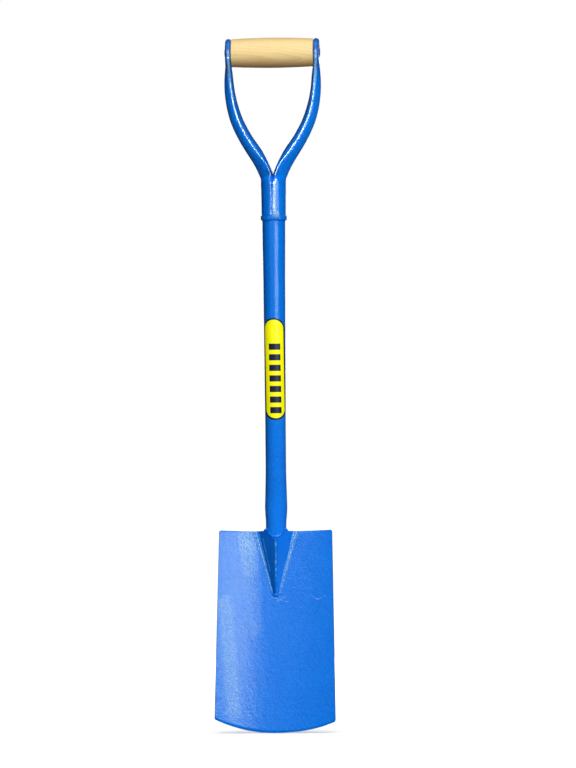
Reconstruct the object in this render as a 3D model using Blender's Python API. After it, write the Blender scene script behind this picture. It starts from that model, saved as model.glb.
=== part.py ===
"""A steel digging spade that stands upright on its cutting edge, with its hollow face to the front.

Lengths are in metres. +Z is up, +X is to the right of the hollow face and the front is -Y.
The origin is the middle of the cutting edge.

Three empties carry the pieces: one at the cutting edge, leaning with the blade, one at the shaft's
bend and one at the bottom of the handle. Shapes at the blade are worked out as (u, v, w):
u runs across, v up the blade from the cutting edge, and w out of the hollow face.
"""

import math

import bmesh
import bpy
from mathutils import Vector

# Room left between two pieces that touch on the real spade
GAP = 0.0003

# Blade: a plate, sized as the flat blank and then dished about an upright axis in front of it
LIFT = math.radians(10.0)
BLADE_LENGTH = 0.297
BLADE_TOP_WIDTH = 0.168
BLADE_FOOT_WIDTH = 0.1795
BLADE_THICK = 0.0025
DISH_RADIUS = 0.265
EDGE_RADIUS = 0.226
FOOT_CORNER = 0.004
TOP_CORNER = 0.002
GRIND_HEIGHT = 0.005
GRIND_LEFT = 0.0006

# Folded ridge plate let into the top of the blade
RIDGE_LENGTH = 0.092
RIDGE_TOP_HALF = 0.030
RIDGE_TOE_HALF = 0.005
RIDGE_TOP_CREST = 0.013
RIDGE_TOE_CREST = 0.0038
FOLD = 0.002

# Shaft: a tube whose foot straddles the ridge plate
SHAFT_WALL = 0.002
FOOT_RADIUS = 0.0149
FOOT_OFFSET = 0.001
BEND_ABOVE_BLADE = 0.035
BEND_RADIUS = 0.200
SHAFT_RISE = 0.4285
SHAFT_TOP_RADIUS = 0.01695
LIP_BELOW_TOP = 0.0146
LIP_SLOPE = 1.74
TAIL_BELOW_TOP = 0.042
TAIL_SLOPE = 1.2

# Near the bend the tube is pressed wider and shallower.
# Each row holds the distance past the bend and what is added to the tube's half width and half depth.
SWELL = (
    (-0.026, 0.0, 0.0),
    (-0.013, 0.0007, -0.0006),
    (0.000, 0.0014, -0.0011),
    (0.013, 0.0011, -0.0009),
    (0.028, 0.0007, -0.0003),
    (0.057, 0.0001, 0.0001),
)

# Above it the tube widens: share of its rise, and share of the way from its foot's to its top's radius
TAPER = (
    (0.233, 0.05),
    (0.30, 0.05),
    (0.50, 0.29),
    (0.71, 0.58),
    (0.78, 0.61),
    (0.85, 0.76),
    (0.92, 0.93),
    (0.985, 1.0),
)

# Spigot: the shaft's top end, drawn down to go into the handle
SPIGOT_STEP = 0.00095
SPIGOT_RADIUS = SHAFT_TOP_RADIUS - SPIGOT_STEP
SPIGOT_SHORT = 0.006

# Grip and the rivet through it
GRIP_LENGTH = 0.1204
GRIP_END_RADIUS = 0.02045
GRIP_BELLY_RADIUS = 0.02275
GRIP_ROUNDING = 0.0012
RIVET_RADIUS = 0.004
RIVET_HEAD_RADIUS = 0.007
RIVET_HEAD_HEIGHT = 0.0012

# Handle: a rolled pressing with a socket, two hollow arms and two ears
HANDLE_WALL = 0.0017
SOCKET_RADIUS = SPIGOT_RADIUS + GAP + HANDLE_WALL
SOCKET_LENGTH = 0.056
CROWN_HEIGHT = 0.010
SPIGOT_LENGTH = SOCKET_LENGTH - CROWN_HEIGHT - SPIGOT_SHORT
GRIP_RISE = 0.2384
EAR_LIP = 0.0004
EAR_RADIUS = GRIP_END_RADIUS + EAR_LIP
EAR_THICK = 0.0084
EAR_EDGE = 0.0025
SEAM_OFFSET = -0.0015
SEAM_WIDTH = 0.0005

# Arm stations in the socket: share of its length, then offset, width and depth as shares of its radius
ARM_ROOT = (
    (0.60, 0.387, 1.13, 1.60),
    (0.92, 0.450, 1.14, 1.80),
)

# Arm stations above it: share of the way up to the grip, share of the ear's offset, width and depth
ARM = (
    (0.056, 0.193, 0.0212, 0.0305),
    (0.136, 0.302, 0.0216, 0.0275),
    (0.216, 0.447, 0.0211, 0.0245),
    (0.296, 0.594, 0.0201, 0.0225),
    (0.377, 0.720, 0.0194, 0.0212),
    (0.456, 0.820, 0.0188, 0.0208),
    (0.536, 0.892, 0.0179, 0.0208),
    (0.616, 0.943, 0.0166, 0.0212),
    (0.697, 0.976, 0.0152, 0.0222),
    (0.776, 0.990, 0.0137, 0.0240),
    (0.843, 0.993, 0.0118, 0.0275),
    (0.895, 0.996, 0.0100, 0.0325),
    (0.935, 1.000, 0.0080, 0.0365),
    (0.961, 1.000, 0.0060, 0.0385),
    (1.000, 1.000, 0.0054, 0.0395),
)
SOLID_STATIONS = 4

# Label round the front of the shaft, with its middle at this share of the shaft's rise
LABEL_LENGTH = 0.149
LABEL_WIDTH = 0.035
LABEL_THICK = 0.0003
LABEL_MIDDLE = 0.475

# Welds: each one's width, height or leg
COLLAR_CROWN = 0.00105
COLLAR_HEIGHT = 0.0075
RIDGE_WELD_WIDTH = 0.0062
RIDGE_WELD_CROWN = 0.0016
TOE_WELD_HALF = 0.0062
TOE_WELD_CROWN = 0.0022
TOE_WELD_LENGTH = 0.006
FOOT_WELD_LEG = 0.0036
TAIL_WELD_LEG = 0.0032

# Sides of a round piece
SHAFT_SIDES = 32
ARM_SIDES = 24
GRIP_SIDES = 40
RIVET_SIDES = 24

# Where the frames lie, worked out from the sizes above
UP_BLADE = Vector((0.0, math.sin(LIFT), math.cos(LIFT)))
OUT_OF_FACE = Vector((0.0, -math.cos(LIFT), math.sin(LIFT)))
EDGE_MIDDLE = (GRIND_LEFT - BLADE_THICK) / 2
BLADE_PLACE = Vector((0.0, EDGE_MIDDLE * math.cos(LIFT), BLADE_THICK / 2 * math.sin(LIFT)))
BEND_V = BLADE_LENGTH + BEND_ABOVE_BLADE
BEND_PLACE = BLADE_PLACE + BEND_V * UP_BLADE + FOOT_OFFSET * OUT_OF_FACE
BEND_REACH = BEND_RADIUS * math.tan(LIFT / 2)
RIDGE_TOE_V = BLADE_LENGTH - RIDGE_LENGTH
TAIL_V = BLADE_LENGTH - TAIL_BELOW_TOP
EAR_INSIDE = GRIP_LENGTH / 2 + GAP
EAR_MIDDLE = EAR_INSIDE + EAR_THICK / 2

BLUE = (0.006, 0.155, 0.62)
WELD_BLUE = (0.006, 0.145, 0.58)
PALE_WOOD = (0.80, 0.60, 0.33)
YELLOW = (0.87, 0.84, 0.02)

SIDES = ((-1, "left"), (1, "right"))


# Building blocks


def material(name, colour, roughness):
    """A Principled material of this plain colour. None of the pieces shows bare metal."""
    made = bpy.data.materials.new(name)
    made.use_nodes = True
    shader = made.node_tree.nodes["Principled BSDF"]
    shader.inputs["Base Color"].default_value = (*colour, 1.0)
    shader.inputs["Metallic"].default_value = 0.0
    shader.inputs["Roughness"].default_value = roughness
    made.diffuse_color = (*colour, 1.0)
    return made


def add_frame(name, place, lean=0.0, parent=None):
    """An empty that carries pieces, leaning about X."""
    empty = bpy.data.objects.new(name, None)
    empty.location = place
    empty.rotation_euler = (lean, 0.0, 0.0)
    empty.parent = parent
    bpy.context.scene.collection.objects.link(empty)
    return empty


def finished(name, work, frame, paint=None):
    """The bmesh as an object in this frame, with its faces turned outward. With no paint it is a cutter."""
    bmesh.ops.recalc_face_normals(work, faces=work.faces)
    mesh = bpy.data.meshes.new(name)
    work.to_mesh(mesh)
    work.free()
    mesh.shade_smooth()
    mesh.set_sharp_from_angle(angle=math.radians(35))
    piece = bpy.data.objects.new(name, mesh)
    piece.parent = frame
    bpy.context.scene.collection.objects.link(piece)
    if paint is None:
        piece.hide_render = True
        piece.display_type = "WIRE"
    else:
        mesh.materials.append(paint)
    return piece


def lofted(name, rings, frame, paint=None, looped=False):
    """A solid through rings with equal numbers of points, capped at both ends or joined into a loop."""
    work = bmesh.new()
    rows = [[work.verts.new(point) for point in ring] for ring in rings]
    for low, high in zip(rows, rows[1:] + rows[: int(looped)]):
        for i in range(len(low)):
            j = (i + 1) % len(low)
            work.faces.new((low[i], low[j], high[j], high[i]))
    if not looped:
        work.faces.new(rows[0])
        work.faces.new(rows[-1])
    return finished(name, work, frame, paint)


def around(sides):
    return [2 * math.pi * step / sides for step in range(sides)]


def upright(name, profile, frame, paint=None, bored=False):
    """A solid turned about Z from (height, radius) points. A bored one's profile closes on itself."""
    rings = []
    for height, radius in profile:
        rings.append([(radius * math.cos(a), radius * math.sin(a), height) for a in around(SHAFT_SIDES)])
    return lofted(name, rings, frame, paint, looped=bored)


def lying(name, profile, frame, paint=None, sides=SHAFT_SIDES, bored=False):
    """A solid turned about the grip's axis from (distance to the right, radius) points."""
    rings = []
    for run, radius in profile:
        rings.append([(run, radius * math.cos(a), radius * math.sin(a)) for a in around(sides)])
    piece = lofted(name, rings, frame, paint, looped=bored)
    piece.location = (0.0, 0.0, GRIP_RISE)
    return piece


def boolean(target, helper, operation):
    modifier = target.modifiers.new(helper.name, "BOOLEAN")
    modifier.operation = operation
    modifier.solver = "EXACT"
    modifier.object = helper


# Blade and ridge plate


def at(u, v, w):
    """The blade's (u, v, w) as a point of its leaning frame."""
    return Vector((u, -w, v))


def dished(along_arc, depth):
    """(u, w) for a point of the blank at this depth in front of its middle layer."""
    angle = along_arc / DISH_RADIUS
    radius = DISH_RADIUS - depth
    return radius * math.sin(angle), DISH_RADIUS - radius * math.cos(angle)


def blade_face(u, depth=BLADE_THICK / 2):
    """How far out the blade's front stands at u, or its layer at another depth."""
    return DISH_RADIUS - math.sqrt((DISH_RADIUS - depth) ** 2 - u**2)


def rounded_corner(centre, radius, start, end):
    """Three points of an arc in the blank, its angles counted from straight down."""
    points = []
    for step in (1, 2, 3):
        angle = start + (end - start) * step / 3
        points.append((centre[0] + radius * math.sin(angle), centre[1] - radius * math.cos(angle)))
    return points


def foot_outline(steps=11):
    """The right half of the blank's lower edge as (across, up). A short flat stretch lies at its middle."""
    inside = EDGE_RADIUS - FOOT_CORNER
    end = math.asin((BLADE_FOOT_WIDTH / 2 - FOOT_CORNER) / inside)
    start = end / (2 * steps)
    centre_up = EDGE_RADIUS * math.cos(start)
    outline = []
    for step in range(steps):
        angle = start + (end - start) * step / (steps - 1)
        outline.append((EDGE_RADIUS * math.sin(angle), centre_up - EDGE_RADIUS * math.cos(angle)))
    corner = (inside * math.sin(end), centre_up - inside * math.cos(end))
    return outline + rounded_corner(corner, FOOT_CORNER, end, math.pi / 2)


def top_outline(steps=11):
    """The right half of the blank's top edge, with as many points as the lower edge's."""
    reach = BLADE_TOP_WIDTH / 2 - TOP_CORNER
    outline = [(reach * (step + 0.5) / (steps - 0.5), BLADE_LENGTH) for step in range(steps)]
    corner = (reach, BLADE_LENGTH - TOP_CORNER)
    return outline + rounded_corner(corner, TOP_CORNER, math.pi, math.pi / 2)


def mirrored(outline):
    return [(-across, up) for across, up in reversed(outline)] + outline


def add_blade(frame, paint):
    """The dished plate, thinned towards its cutting edge and notched for the ridge plate."""
    foot, top = mirrored(foot_outline()), mirrored(top_outline())
    rows = [0.0, GRIND_HEIGHT / BLADE_LENGTH] + [step / 8 for step in range(1, 9)]
    work = bmesh.new()
    layers = []
    for row in rows:
        front_depth = BLADE_THICK / 2 if row > 0 else GRIND_LEFT - BLADE_THICK / 2
        for depth in (front_depth, -BLADE_THICK / 2):
            layer = []
            for (low_across, low_up), (high_across, high_up) in zip(foot, top):
                u, w = dished(low_across + (high_across - low_across) * row, depth)
                layer.append(work.verts.new(at(u, low_up + (high_up - low_up) * row, w)))
            layers.append(layer)
    fronts, backs = layers[::2], layers[1::2]
    for layer in (fronts, backs):
        for low, high in zip(layer, layer[1:]):
            for i in range(len(low) - 1):
                work.faces.new((low[i], low[i + 1], high[i + 1], high[i]))
    rims = [(fronts[0], backs[0]), (fronts[-1], backs[-1])]
    for end in (0, -1):
        rims.append(([layer[end] for layer in fronts], [layer[end] for layer in backs]))
    for front, back in rims:
        for i in range(len(front) - 1):
            work.faces.new((front[i], front[i + 1], back[i + 1], back[i]))
    blade = finished("blade", work, frame, paint)
    boolean(blade, add_notch_cutter(frame), "DIFFERENCE")


def ridge_share(v):
    """0 at the ridge plate's lower end and 1 at its top."""
    return (v - RIDGE_TOE_V) / RIDGE_LENGTH


def ridge_half(v):
    return RIDGE_TOE_HALF + (RIDGE_TOP_HALF - RIDGE_TOE_HALF) * ridge_share(v)


def ridge_face(u, v):
    """How far out the ridge plate's front stands: level with the blade at its sides, rounded at its fold."""
    half = ridge_half(v)
    side = blade_face(half)
    crest = RIDGE_TOE_CREST + (RIDGE_TOP_CREST - RIDGE_TOE_CREST) * ridge_share(v)
    fall = (math.hypot(u, FOLD) - FOLD) / (math.hypot(half, FOLD) - FOLD)
    return crest + (side - crest) * fall


def front_face(u, v):
    """The front of the ridge plate or, beside it, of the blade."""
    return ridge_face(u, v) if abs(u) < ridge_half(v) else blade_face(u)


def add_notch_cutter(frame):
    above, toe = BLADE_LENGTH + 4 * BLADE_THICK, RIDGE_TOE_V - GAP
    wide, narrow = ridge_half(above) + GAP, ridge_half(toe) + GAP
    outline = ((-narrow, toe), (narrow, toe), (wide, above), (-wide, above))
    reach = RIDGE_TOP_HALF
    return lofted("notch_cutter", [[at(u, v, w) for u, v in outline] for w in (-reach, reach)], frame)


def add_ridge_plate(name, frame, grow=0.0, paint=None):
    """The folded plate. Grown all round by the gap, it is the cutter that makes room for itself."""
    shares = (0.0, 0.05, 0.12, 0.25, 0.5, 0.75, 1.0)
    shares = [-share for share in reversed(shares[1:])] + list(shares)
    low, high = RIDGE_TOE_V - grow, BLADE_LENGTH + grow
    rings = []
    for step in range(7):
        v = low + (high - low) * step / 6
        across = [(ridge_half(v) + grow) * share for share in shares]
        ring = [at(u, v, ridge_face(u, v) + grow) for u in across]
        ring += [at(u, v, ridge_face(u, v) - BLADE_THICK - grow) for u in reversed(across)]
        rings.append(ring)
    return lofted(name, rings, frame, paint)


# Shaft


def shaft_point(distance):
    """Middle of the tube this far past the bend's corner, and its direction there, in the bend's frame."""
    straight_up = Vector((0.0, 0.0, 1.0))
    if distance <= -BEND_REACH:
        return UP_BLADE * distance, UP_BLADE
    if distance >= BEND_REACH:
        return straight_up * distance, straight_up
    turned_by = LIFT * (distance + BEND_REACH) / (2 * BEND_REACH)
    ahead = BEND_RADIUS * math.sin(turned_by) - BEND_REACH
    aside = BEND_RADIUS * (1 - math.cos(turned_by))
    direction = UP_BLADE * math.cos(turned_by) + OUT_OF_FACE * math.sin(turned_by)
    return UP_BLADE * ahead + OUT_OF_FACE * aside, direction


def shaft_stations():
    """Distance past the bend, half width and half depth, from the foot to the spigot's top."""
    stations = [(TAIL_V - BEND_V - FOOT_RADIUS / 4, FOOT_RADIUS, FOOT_RADIUS)]
    for distance, wider, deeper in SWELL:
        stations.append((distance, FOOT_RADIUS + wider, FOOT_RADIUS + deeper))
    for rise, share in TAPER:
        radius = FOOT_RADIUS + (SHAFT_TOP_RADIUS - FOOT_RADIUS) * share
        stations.append((SHAFT_RISE * rise, radius, radius))
    stations.append((SHAFT_RISE - COLLAR_HEIGHT / 4, SPIGOT_RADIUS, SPIGOT_RADIUS))
    stations.append((SHAFT_RISE + SPIGOT_LENGTH, SPIGOT_RADIUS, SPIGOT_RADIUS))
    return stations


def shaft_radius(distance):
    """Half width of the tube, read between its stations."""
    stations = shaft_stations()
    for low, high in zip(stations, stations[1:]):
        if distance <= high[0]:
            share = (distance - low[0]) / (high[0] - low[0])
            return low[1] + (high[1] - low[1]) * share
    return stations[-1][1]


def shaft_rings(shrink=0.0):
    """Rings of the tube. Shrunk by the wall, they are its bore, which runs out past both ends."""
    stations = shaft_stations()
    if shrink:
        stations[0] = (stations[0][0] - shrink, *stations[0][1:])
        stations[-1] = (stations[-1][0] + shrink, *stations[-1][1:])
    rings = []
    for distance, half_width, half_depth in stations:
        middle, direction = shaft_point(distance)
        across = Vector((half_width - shrink, 0.0, 0.0))
        forward = Vector((1.0, 0.0, 0.0)).cross(direction) * (half_depth - shrink)
        ring = [middle + across * math.cos(a) + forward * math.sin(a) for a in around(SHAFT_SIDES)]
        rings.append(ring)
    return rings


def add_foot_trim(frame):
    """A prism over what is cut from the tube's foot: a sloped lip in front and a scarfed tail behind."""
    lip = BLADE_LENGTH - LIP_BELOW_TOP
    front = FOOT_OFFSET + FOOT_RADIUS
    beside = FOOT_RADIUS - SHAFT_WALL / 2
    plate_top = ridge_face(beside, BLADE_LENGTH) - BLADE_THICK / 2
    plate_tail = ridge_face(beside, TAIL_V) - BLADE_THICK / 2
    clear = 1.5 * FOOT_RADIUS
    below = TAIL_V - 2 * FOOT_RADIUS
    outline = (
        (front + clear, lip - LIP_SLOPE * clear),
        (plate_top, min(lip + LIP_SLOPE * (front - plate_top), BLADE_LENGTH)),
        (plate_tail, TAIL_V),
        (plate_tail - 2 * clear, TAIL_V + TAIL_SLOPE * 2 * clear),
        (plate_tail - 2 * clear, below),
        (front + clear, below),
    )
    return lofted("foot_trim", [[at(u, v, w) for w, v in outline] for u in (-clear, clear)], frame)


def add_shaft(bend, blade_frame, paint):
    shaft = lofted("shaft", shaft_rings(), bend, paint)
    boolean(shaft, lofted("shaft_bore", shaft_rings(SHAFT_WALL), bend), "DIFFERENCE")
    boolean(shaft, add_ridge_plate("ridge_room", blade_frame, grow=GAP), "DIFFERENCE")
    boolean(shaft, add_foot_trim(blade_frame), "DIFFERENCE")


# Handle, grip and rivet


def refined(stations):
    """The stations with one more between each pair, on a smooth curve through them."""
    padded = [stations[0], *stations, stations[-1]]
    fine = []
    for before, low, high, after in zip(padded, padded[1:], padded[2:], padded[3:]):
        fine.append(low)
        fine.append(tuple((9 * (b + c) - a - d) / 16 for a, b, c, d in zip(before, low, high, after)))
    fine.append(stations[-1])
    return fine


def arm_stations():
    """Height above the socket's foot, offset from the middle, width and depth of an arm."""
    stations = []
    for height, offset, width, depth in ARM_ROOT:
        rise = height * SOCKET_LENGTH
        stations.append((rise, offset * SOCKET_RADIUS, width * SOCKET_RADIUS, depth * SOCKET_RADIUS))
    for height, offset, width, depth in ARM:
        rise = SOCKET_LENGTH + height * (GRIP_RISE - SOCKET_LENGTH)
        stations.append((rise, offset * EAR_MIDDLE, width, depth))
    return stations


def arm_rings(side, stations, shrink=0.0):
    """Rings of one arm, each square to its middle line. Shrunk by the wall, they are its hollow."""
    stations = refined(stations)
    middles = [Vector((side * offset, 0.0, rise)) for rise, offset, _, _ in stations]
    rings = []
    for i, (_, _, width, depth) in enumerate(stations):
        direction = (middles[min(i + 1, len(middles) - 1)] - middles[max(i - 1, 0)]).normalized()
        across = Vector((direction.z, 0.0, -direction.x)) * (width / 2 - shrink)
        forward = Vector((0.0, depth / 2 - shrink, 0.0))
        ring = [middles[i] + across * math.cos(a) + forward * math.sin(a) for a in around(ARM_SIDES)]
        rings.append(ring)
    return rings


def domed(foot, radius, straight, dome):
    """(height, radius) points of a round solid whose top is half an ellipse, this high."""
    profile = [(foot, radius)]
    for degrees in (0, 18, 36, 54, 72):
        angle = math.radians(degrees)
        profile.append((straight + dome * math.sin(angle), radius * math.cos(angle)))
    profile.append((straight + dome, 0.1 * radius))
    return profile


def add_ear(side, word, frame):
    """A disc outside one end of the grip, with its outer rim rounded."""
    outer = EAR_INSIDE + EAR_THICK
    profile = (
        (EAR_INSIDE - EAR_LIP, EAR_RADIUS),
        (outer - EAR_EDGE, EAR_RADIUS),
        (outer - EAR_EDGE * 0.3, EAR_RADIUS - EAR_EDGE * 0.3),
        (outer, EAR_RADIUS - EAR_EDGE),
    )
    return lying(f"ear_{word}", [(side * run, radius) for run, radius in profile], frame)


def add_bar(name, radius, reach, frame):
    """A round cutter along the grip's axis."""
    return lying(name, [(-reach, radius), (reach, radius)], frame)


def add_seam_cutter(frame):
    """A thin box through the socket's front wall, where the edges of the rolled sheet meet."""
    left, right = SEAM_OFFSET - SEAM_WIDTH / 2, SEAM_OFFSET + SEAM_WIDTH / 2
    front, back = -2 * SOCKET_RADIUS, -SOCKET_RADIUS / 2
    outline = ((left, front), (right, front), (right, back), (left, back))
    heights = (-COLLAR_HEIGHT, SOCKET_LENGTH - CROWN_HEIGHT)
    return lofted("seam_cutter", [[(x, y, z) for x, y in outline] for z in heights], frame)


def add_handle(frame, paint):
    """The socket, joined to both arms and ears, then hollowed from below."""
    straight = SOCKET_LENGTH - CROWN_HEIGHT
    handle = upright("handle", domed(0.0, SOCKET_RADIUS, straight, CROWN_HEIGHT), frame, paint)
    for side, word in SIDES:
        boolean(handle, lofted(f"arm_{word}", arm_rings(side, arm_stations()), frame), "UNION")
        boolean(handle, add_ear(side, word, frame), "UNION")
    for side, word in SIDES:
        rings = arm_rings(side, arm_stations()[:-SOLID_STATIONS], HANDLE_WALL)
        boolean(handle, lofted(f"hollow_{word}", rings, frame), "DIFFERENCE")
    bore = domed(-SOCKET_LENGTH / 4, SPIGOT_RADIUS + GAP, straight, CROWN_HEIGHT - 1.5 * HANDLE_WALL)
    boolean(handle, upright("socket_bore", bore, frame), "DIFFERENCE")
    boolean(handle, add_bar("grip_room", EAR_RADIUS + EAR_LIP, EAR_INSIDE, frame), "DIFFERENCE")
    reach = EAR_INSIDE + 2 * EAR_THICK
    boolean(handle, add_bar("rivet_holes", RIVET_RADIUS + GAP, reach, frame), "DIFFERENCE")
    boolean(handle, add_seam_cutter(frame), "DIFFERENCE")


def add_grip(frame, wood):
    """A barrel turned from one piece, with a bore for the rivet."""
    half = GRIP_LENGTH / 2
    profile = [(-half, GRIP_END_RADIUS - GRIP_ROUNDING)]
    for step in range(11):
        run = (half - GRIP_ROUNDING) * (step / 5 - 1)
        bulge = 1 - (run / half) ** 2
        profile.append((run, GRIP_END_RADIUS + (GRIP_BELLY_RADIUS - GRIP_END_RADIUS) * bulge))
    profile.append((half, GRIP_END_RADIUS - GRIP_ROUNDING))
    profile += [(half, RIVET_RADIUS + GAP), (-half, RIVET_RADIUS + GAP)]
    lying("grip", profile, frame, wood, GRIP_SIDES, bored=True)


def add_rivet(frame, paint):
    """A rod through both ears and the grip, with a domed head on each end."""
    seat = EAR_INSIDE + EAR_THICK + GAP
    right_half = [(seat, RIVET_RADIUS), (seat, RIVET_HEAD_RADIUS)]
    for rise, share in ((0.5, 0.93), (0.85, 0.65), (1.0, 0.2)):
        right_half.append((seat + RIVET_HEAD_HEIGHT * rise, RIVET_HEAD_RADIUS * share))
    profile = [(-run, radius) for run, radius in reversed(right_half)] + right_half
    lying("rivet", profile, frame, paint, RIVET_SIDES)


# Label


def add_label(bend, film):
    """A thin strip with round ends, bent round the front of the shaft."""
    middle = SHAFT_RISE * LABEL_MIDDLE
    round_end = LABEL_WIDTH / 2
    straight = LABEL_LENGTH / 2 - round_end
    lower_end = []
    for degrees in (10, 20, 32, 45, 58, 72, 90):
        angle = math.radians(degrees)
        lower_end.append((-straight - round_end * math.cos(angle), round_end * math.sin(angle)))
    between = [(straight * share, round_end) for share in (-0.6, -0.2, 0.2, 0.6)]
    upper_end = [(-run, half) for run, half in reversed(lower_end)]
    columns = [column / 7 - 1 for column in range(15)]
    rings = []
    for run, half in lower_end + between + upper_end:
        inside = shaft_radius(middle + run) + GAP
        outside = inside + LABEL_THICK
        ring = []
        for radius, order in ((outside, columns), (inside, reversed(columns))):
            for column in order:
                angle = half / inside * column
                ring.append((radius * math.sin(angle), -radius * math.cos(angle), middle + run))
        rings.append(ring)
    lofted("label", rings, bend, film)


# Welds


def add_collar_weld(frame, bead):
    """A ring where the shaft goes into the socket."""
    inside = SHAFT_TOP_RADIUS + GAP
    outside = SOCKET_RADIUS + COLLAR_CROWN
    profile = [(-GAP, inside)]
    for height, sunk in ((0.0, 0.8), (0.2, 0.1), (0.45, 0.0), (0.75, 0.5)):
        profile.append((-GAP - COLLAR_HEIGHT * height, outside - COLLAR_CROWN * sunk))
    profile.append((-GAP - COLLAR_HEIGHT, inside + COLLAR_CROWN / 2))
    profile.append((-GAP - COLLAR_HEIGHT, inside))
    upright("collar_weld", profile, frame, bead, bored=True)


def add_ridge_weld(side, word, frame, bead):
    """A bead down one side of the ridge plate, lying on it and on the blade, narrower towards the toe."""
    start, end = RIDGE_TOE_V + 3 * GAP, BLADE_LENGTH - 2 * GAP
    rings = []
    for step in range(13):
        share = step / 12
        v = start + (end - start) * share
        reach = RIDGE_WELD_WIDTH / 2 * (0.45 + 0.55 * share)
        crown = RIDGE_WELD_CROWN * (0.5 + 0.5 * share)
        base = [ridge_half(v) + GAP / 2 + reach * spot for spot in (1.0, 0.5, 0.0, -0.5, -1.0)]
        ring = [(u, front_face(u, v) + GAP) for u in base]
        for u, rise in zip(reversed(base[1:4]), (0.7, 1.0, 0.7)):
            ring.append((u, front_face(u, v) + GAP + crown * rise))
        rings.append([at(side * u, v, w) for u, w in ring])
    lofted(f"ridge_weld_{word}", rings, frame, bead)


def add_toe_weld(frame, bead):
    """A mound across the ridge plate's lower end."""
    rings = []
    for along, width, crown in ((0.0, 1.0, 1.0), (0.3, 0.97, 0.95), (0.7, 0.73, 0.6), (1.0, 0.35, 0.2)):
        v = RIDGE_TOE_V - GAP - TOE_WELD_LENGTH * along
        half = TOE_WELD_HALF * width
        ring = [(half * spot, GAP) for spot in (1.0, 0.5, 0.0, -0.5, -1.0)]
        for spot in (-0.7, -0.35, 0.0, 0.35, 0.7):
            ring.append((half * spot, GAP + TOE_WELD_CROWN * crown * (1 - spot**2)))
        rings.append([at(u, v, blade_face(u) + rise) for u, rise in ring])
    lofted("toe_weld", rings, frame, bead)


def add_foot_weld(side, word, frame, bead):
    """A puddle in the corner between the tube's side and the ridge plate's top edge."""
    near = FOOT_RADIUS + GAP
    plate = ridge_face(near, BLADE_LENGTH) - BLADE_THICK / 2 - FOOT_OFFSET
    aim = math.asin(plate / near)
    rings = []
    for turn, size in ((-16, 0.4), (-11, 0.8), (-4, 1.0), (4, 1.0), (11, 0.8), (16, 0.4)):
        leg = FOOT_WELD_LEG * size
        angle = aim + math.radians(turn)
        ring = []
        for out, up in ((0.0, 0.0), (1.0, 0.0), (0.62, 0.62), (0.0, 1.0)):
            radius = near + leg * out
            w = FOOT_OFFSET + radius * math.sin(angle)
            ring.append(at(side * radius * math.cos(angle), BLADE_LENGTH + GAP + leg * up, w))
        rings.append(ring)
    lofted(f"foot_weld_{word}", rings, frame, bead)


def add_tail_weld(side, word, frame, bead):
    """A bead behind the ridge plate, along one side of the tube's tail."""
    near = FOOT_RADIUS + 1.5 * GAP
    start, end = TAIL_V + 2.5 * TAIL_WELD_LEG, BLADE_LENGTH - TAIL_WELD_LEG / 2
    rings = []
    for step in range(7):
        v = start + (end - start) * step / 6
        u = near
        for _ in range(6):
            w = ridge_face(u, v) - BLADE_THICK - GAP
            u = math.sqrt(near**2 - (w - FOOT_OFFSET) ** 2)
        leg = TAIL_WELD_LEG * (0.6 if step in (0, 6) else 1.0)
        beside = math.sqrt(near**2 - (w - leg - FOOT_OFFSET) ** 2)
        under = ridge_face(u + leg, v) - BLADE_THICK - GAP
        ring = ((u, w), (beside, w - leg), (u + leg * 0.62, w - leg * 0.75), (u + leg, under))
        rings.append([at(side * a, v, b) for a, b in ring])
    lofted(f"tail_weld_{word}", rings, frame, bead)


def main():
    for found in list(bpy.data.objects):
        bpy.data.objects.remove(found)
    blade_frame = add_frame("blade_frame", BLADE_PLACE, lean=-LIFT)
    bend = add_frame("shaft_frame", BEND_PLACE)
    top = add_frame("handle_frame", (0.0, 0.0, SHAFT_RISE), parent=bend)
    add_blade(blade_frame, material("blade_paint", BLUE, 0.35))
    add_ridge_plate("ridge_plate", blade_frame, paint=material("ridge_paint", BLUE, 0.35))
    add_shaft(bend, blade_frame, material("shaft_paint", BLUE, 0.30))
    add_handle(top, material("handle_paint", BLUE, 0.30))
    add_grip(top, material("grip_wood", PALE_WOOD, 0.50))
    add_rivet(top, material("rivet_paint", BLUE, 0.30))
    add_label(bend, material("label_film", YELLOW, 0.40))
    add_collar_weld(top, material("collar_weld_paint", WELD_BLUE, 0.40))
    add_toe_weld(blade_frame, material("toe_weld_paint", WELD_BLUE, 0.40))
    for side, word in SIDES:
        add_ridge_weld(side, word, blade_frame, material(f"ridge_weld_{word}_paint", WELD_BLUE, 0.40))
        add_foot_weld(side, word, blade_frame, material(f"foot_weld_{word}_paint", WELD_BLUE, 0.40))
        add_tail_weld(side, word, blade_frame, material(f"tail_weld_{word}_paint", WELD_BLUE, 0.40))


main()
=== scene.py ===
"""The finished look of a steel digging spade, laid out as a Blender add-on and run as a script.

Every length is in metres and every piece is made where the CAD frame holds it.
+Z is up, +X is to the right of the hollow face, and the front is -Y.
Shapes at the blade are worked out as (u, v, w): u runs across, v up the blade from its
cutting edge, and w out of the hollow face.
"""

import math
from functools import partial, partialmethod, reduce

import bmesh
import bpy
import numpy as np
from mathutils import Euler, Matrix, Vector


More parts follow.
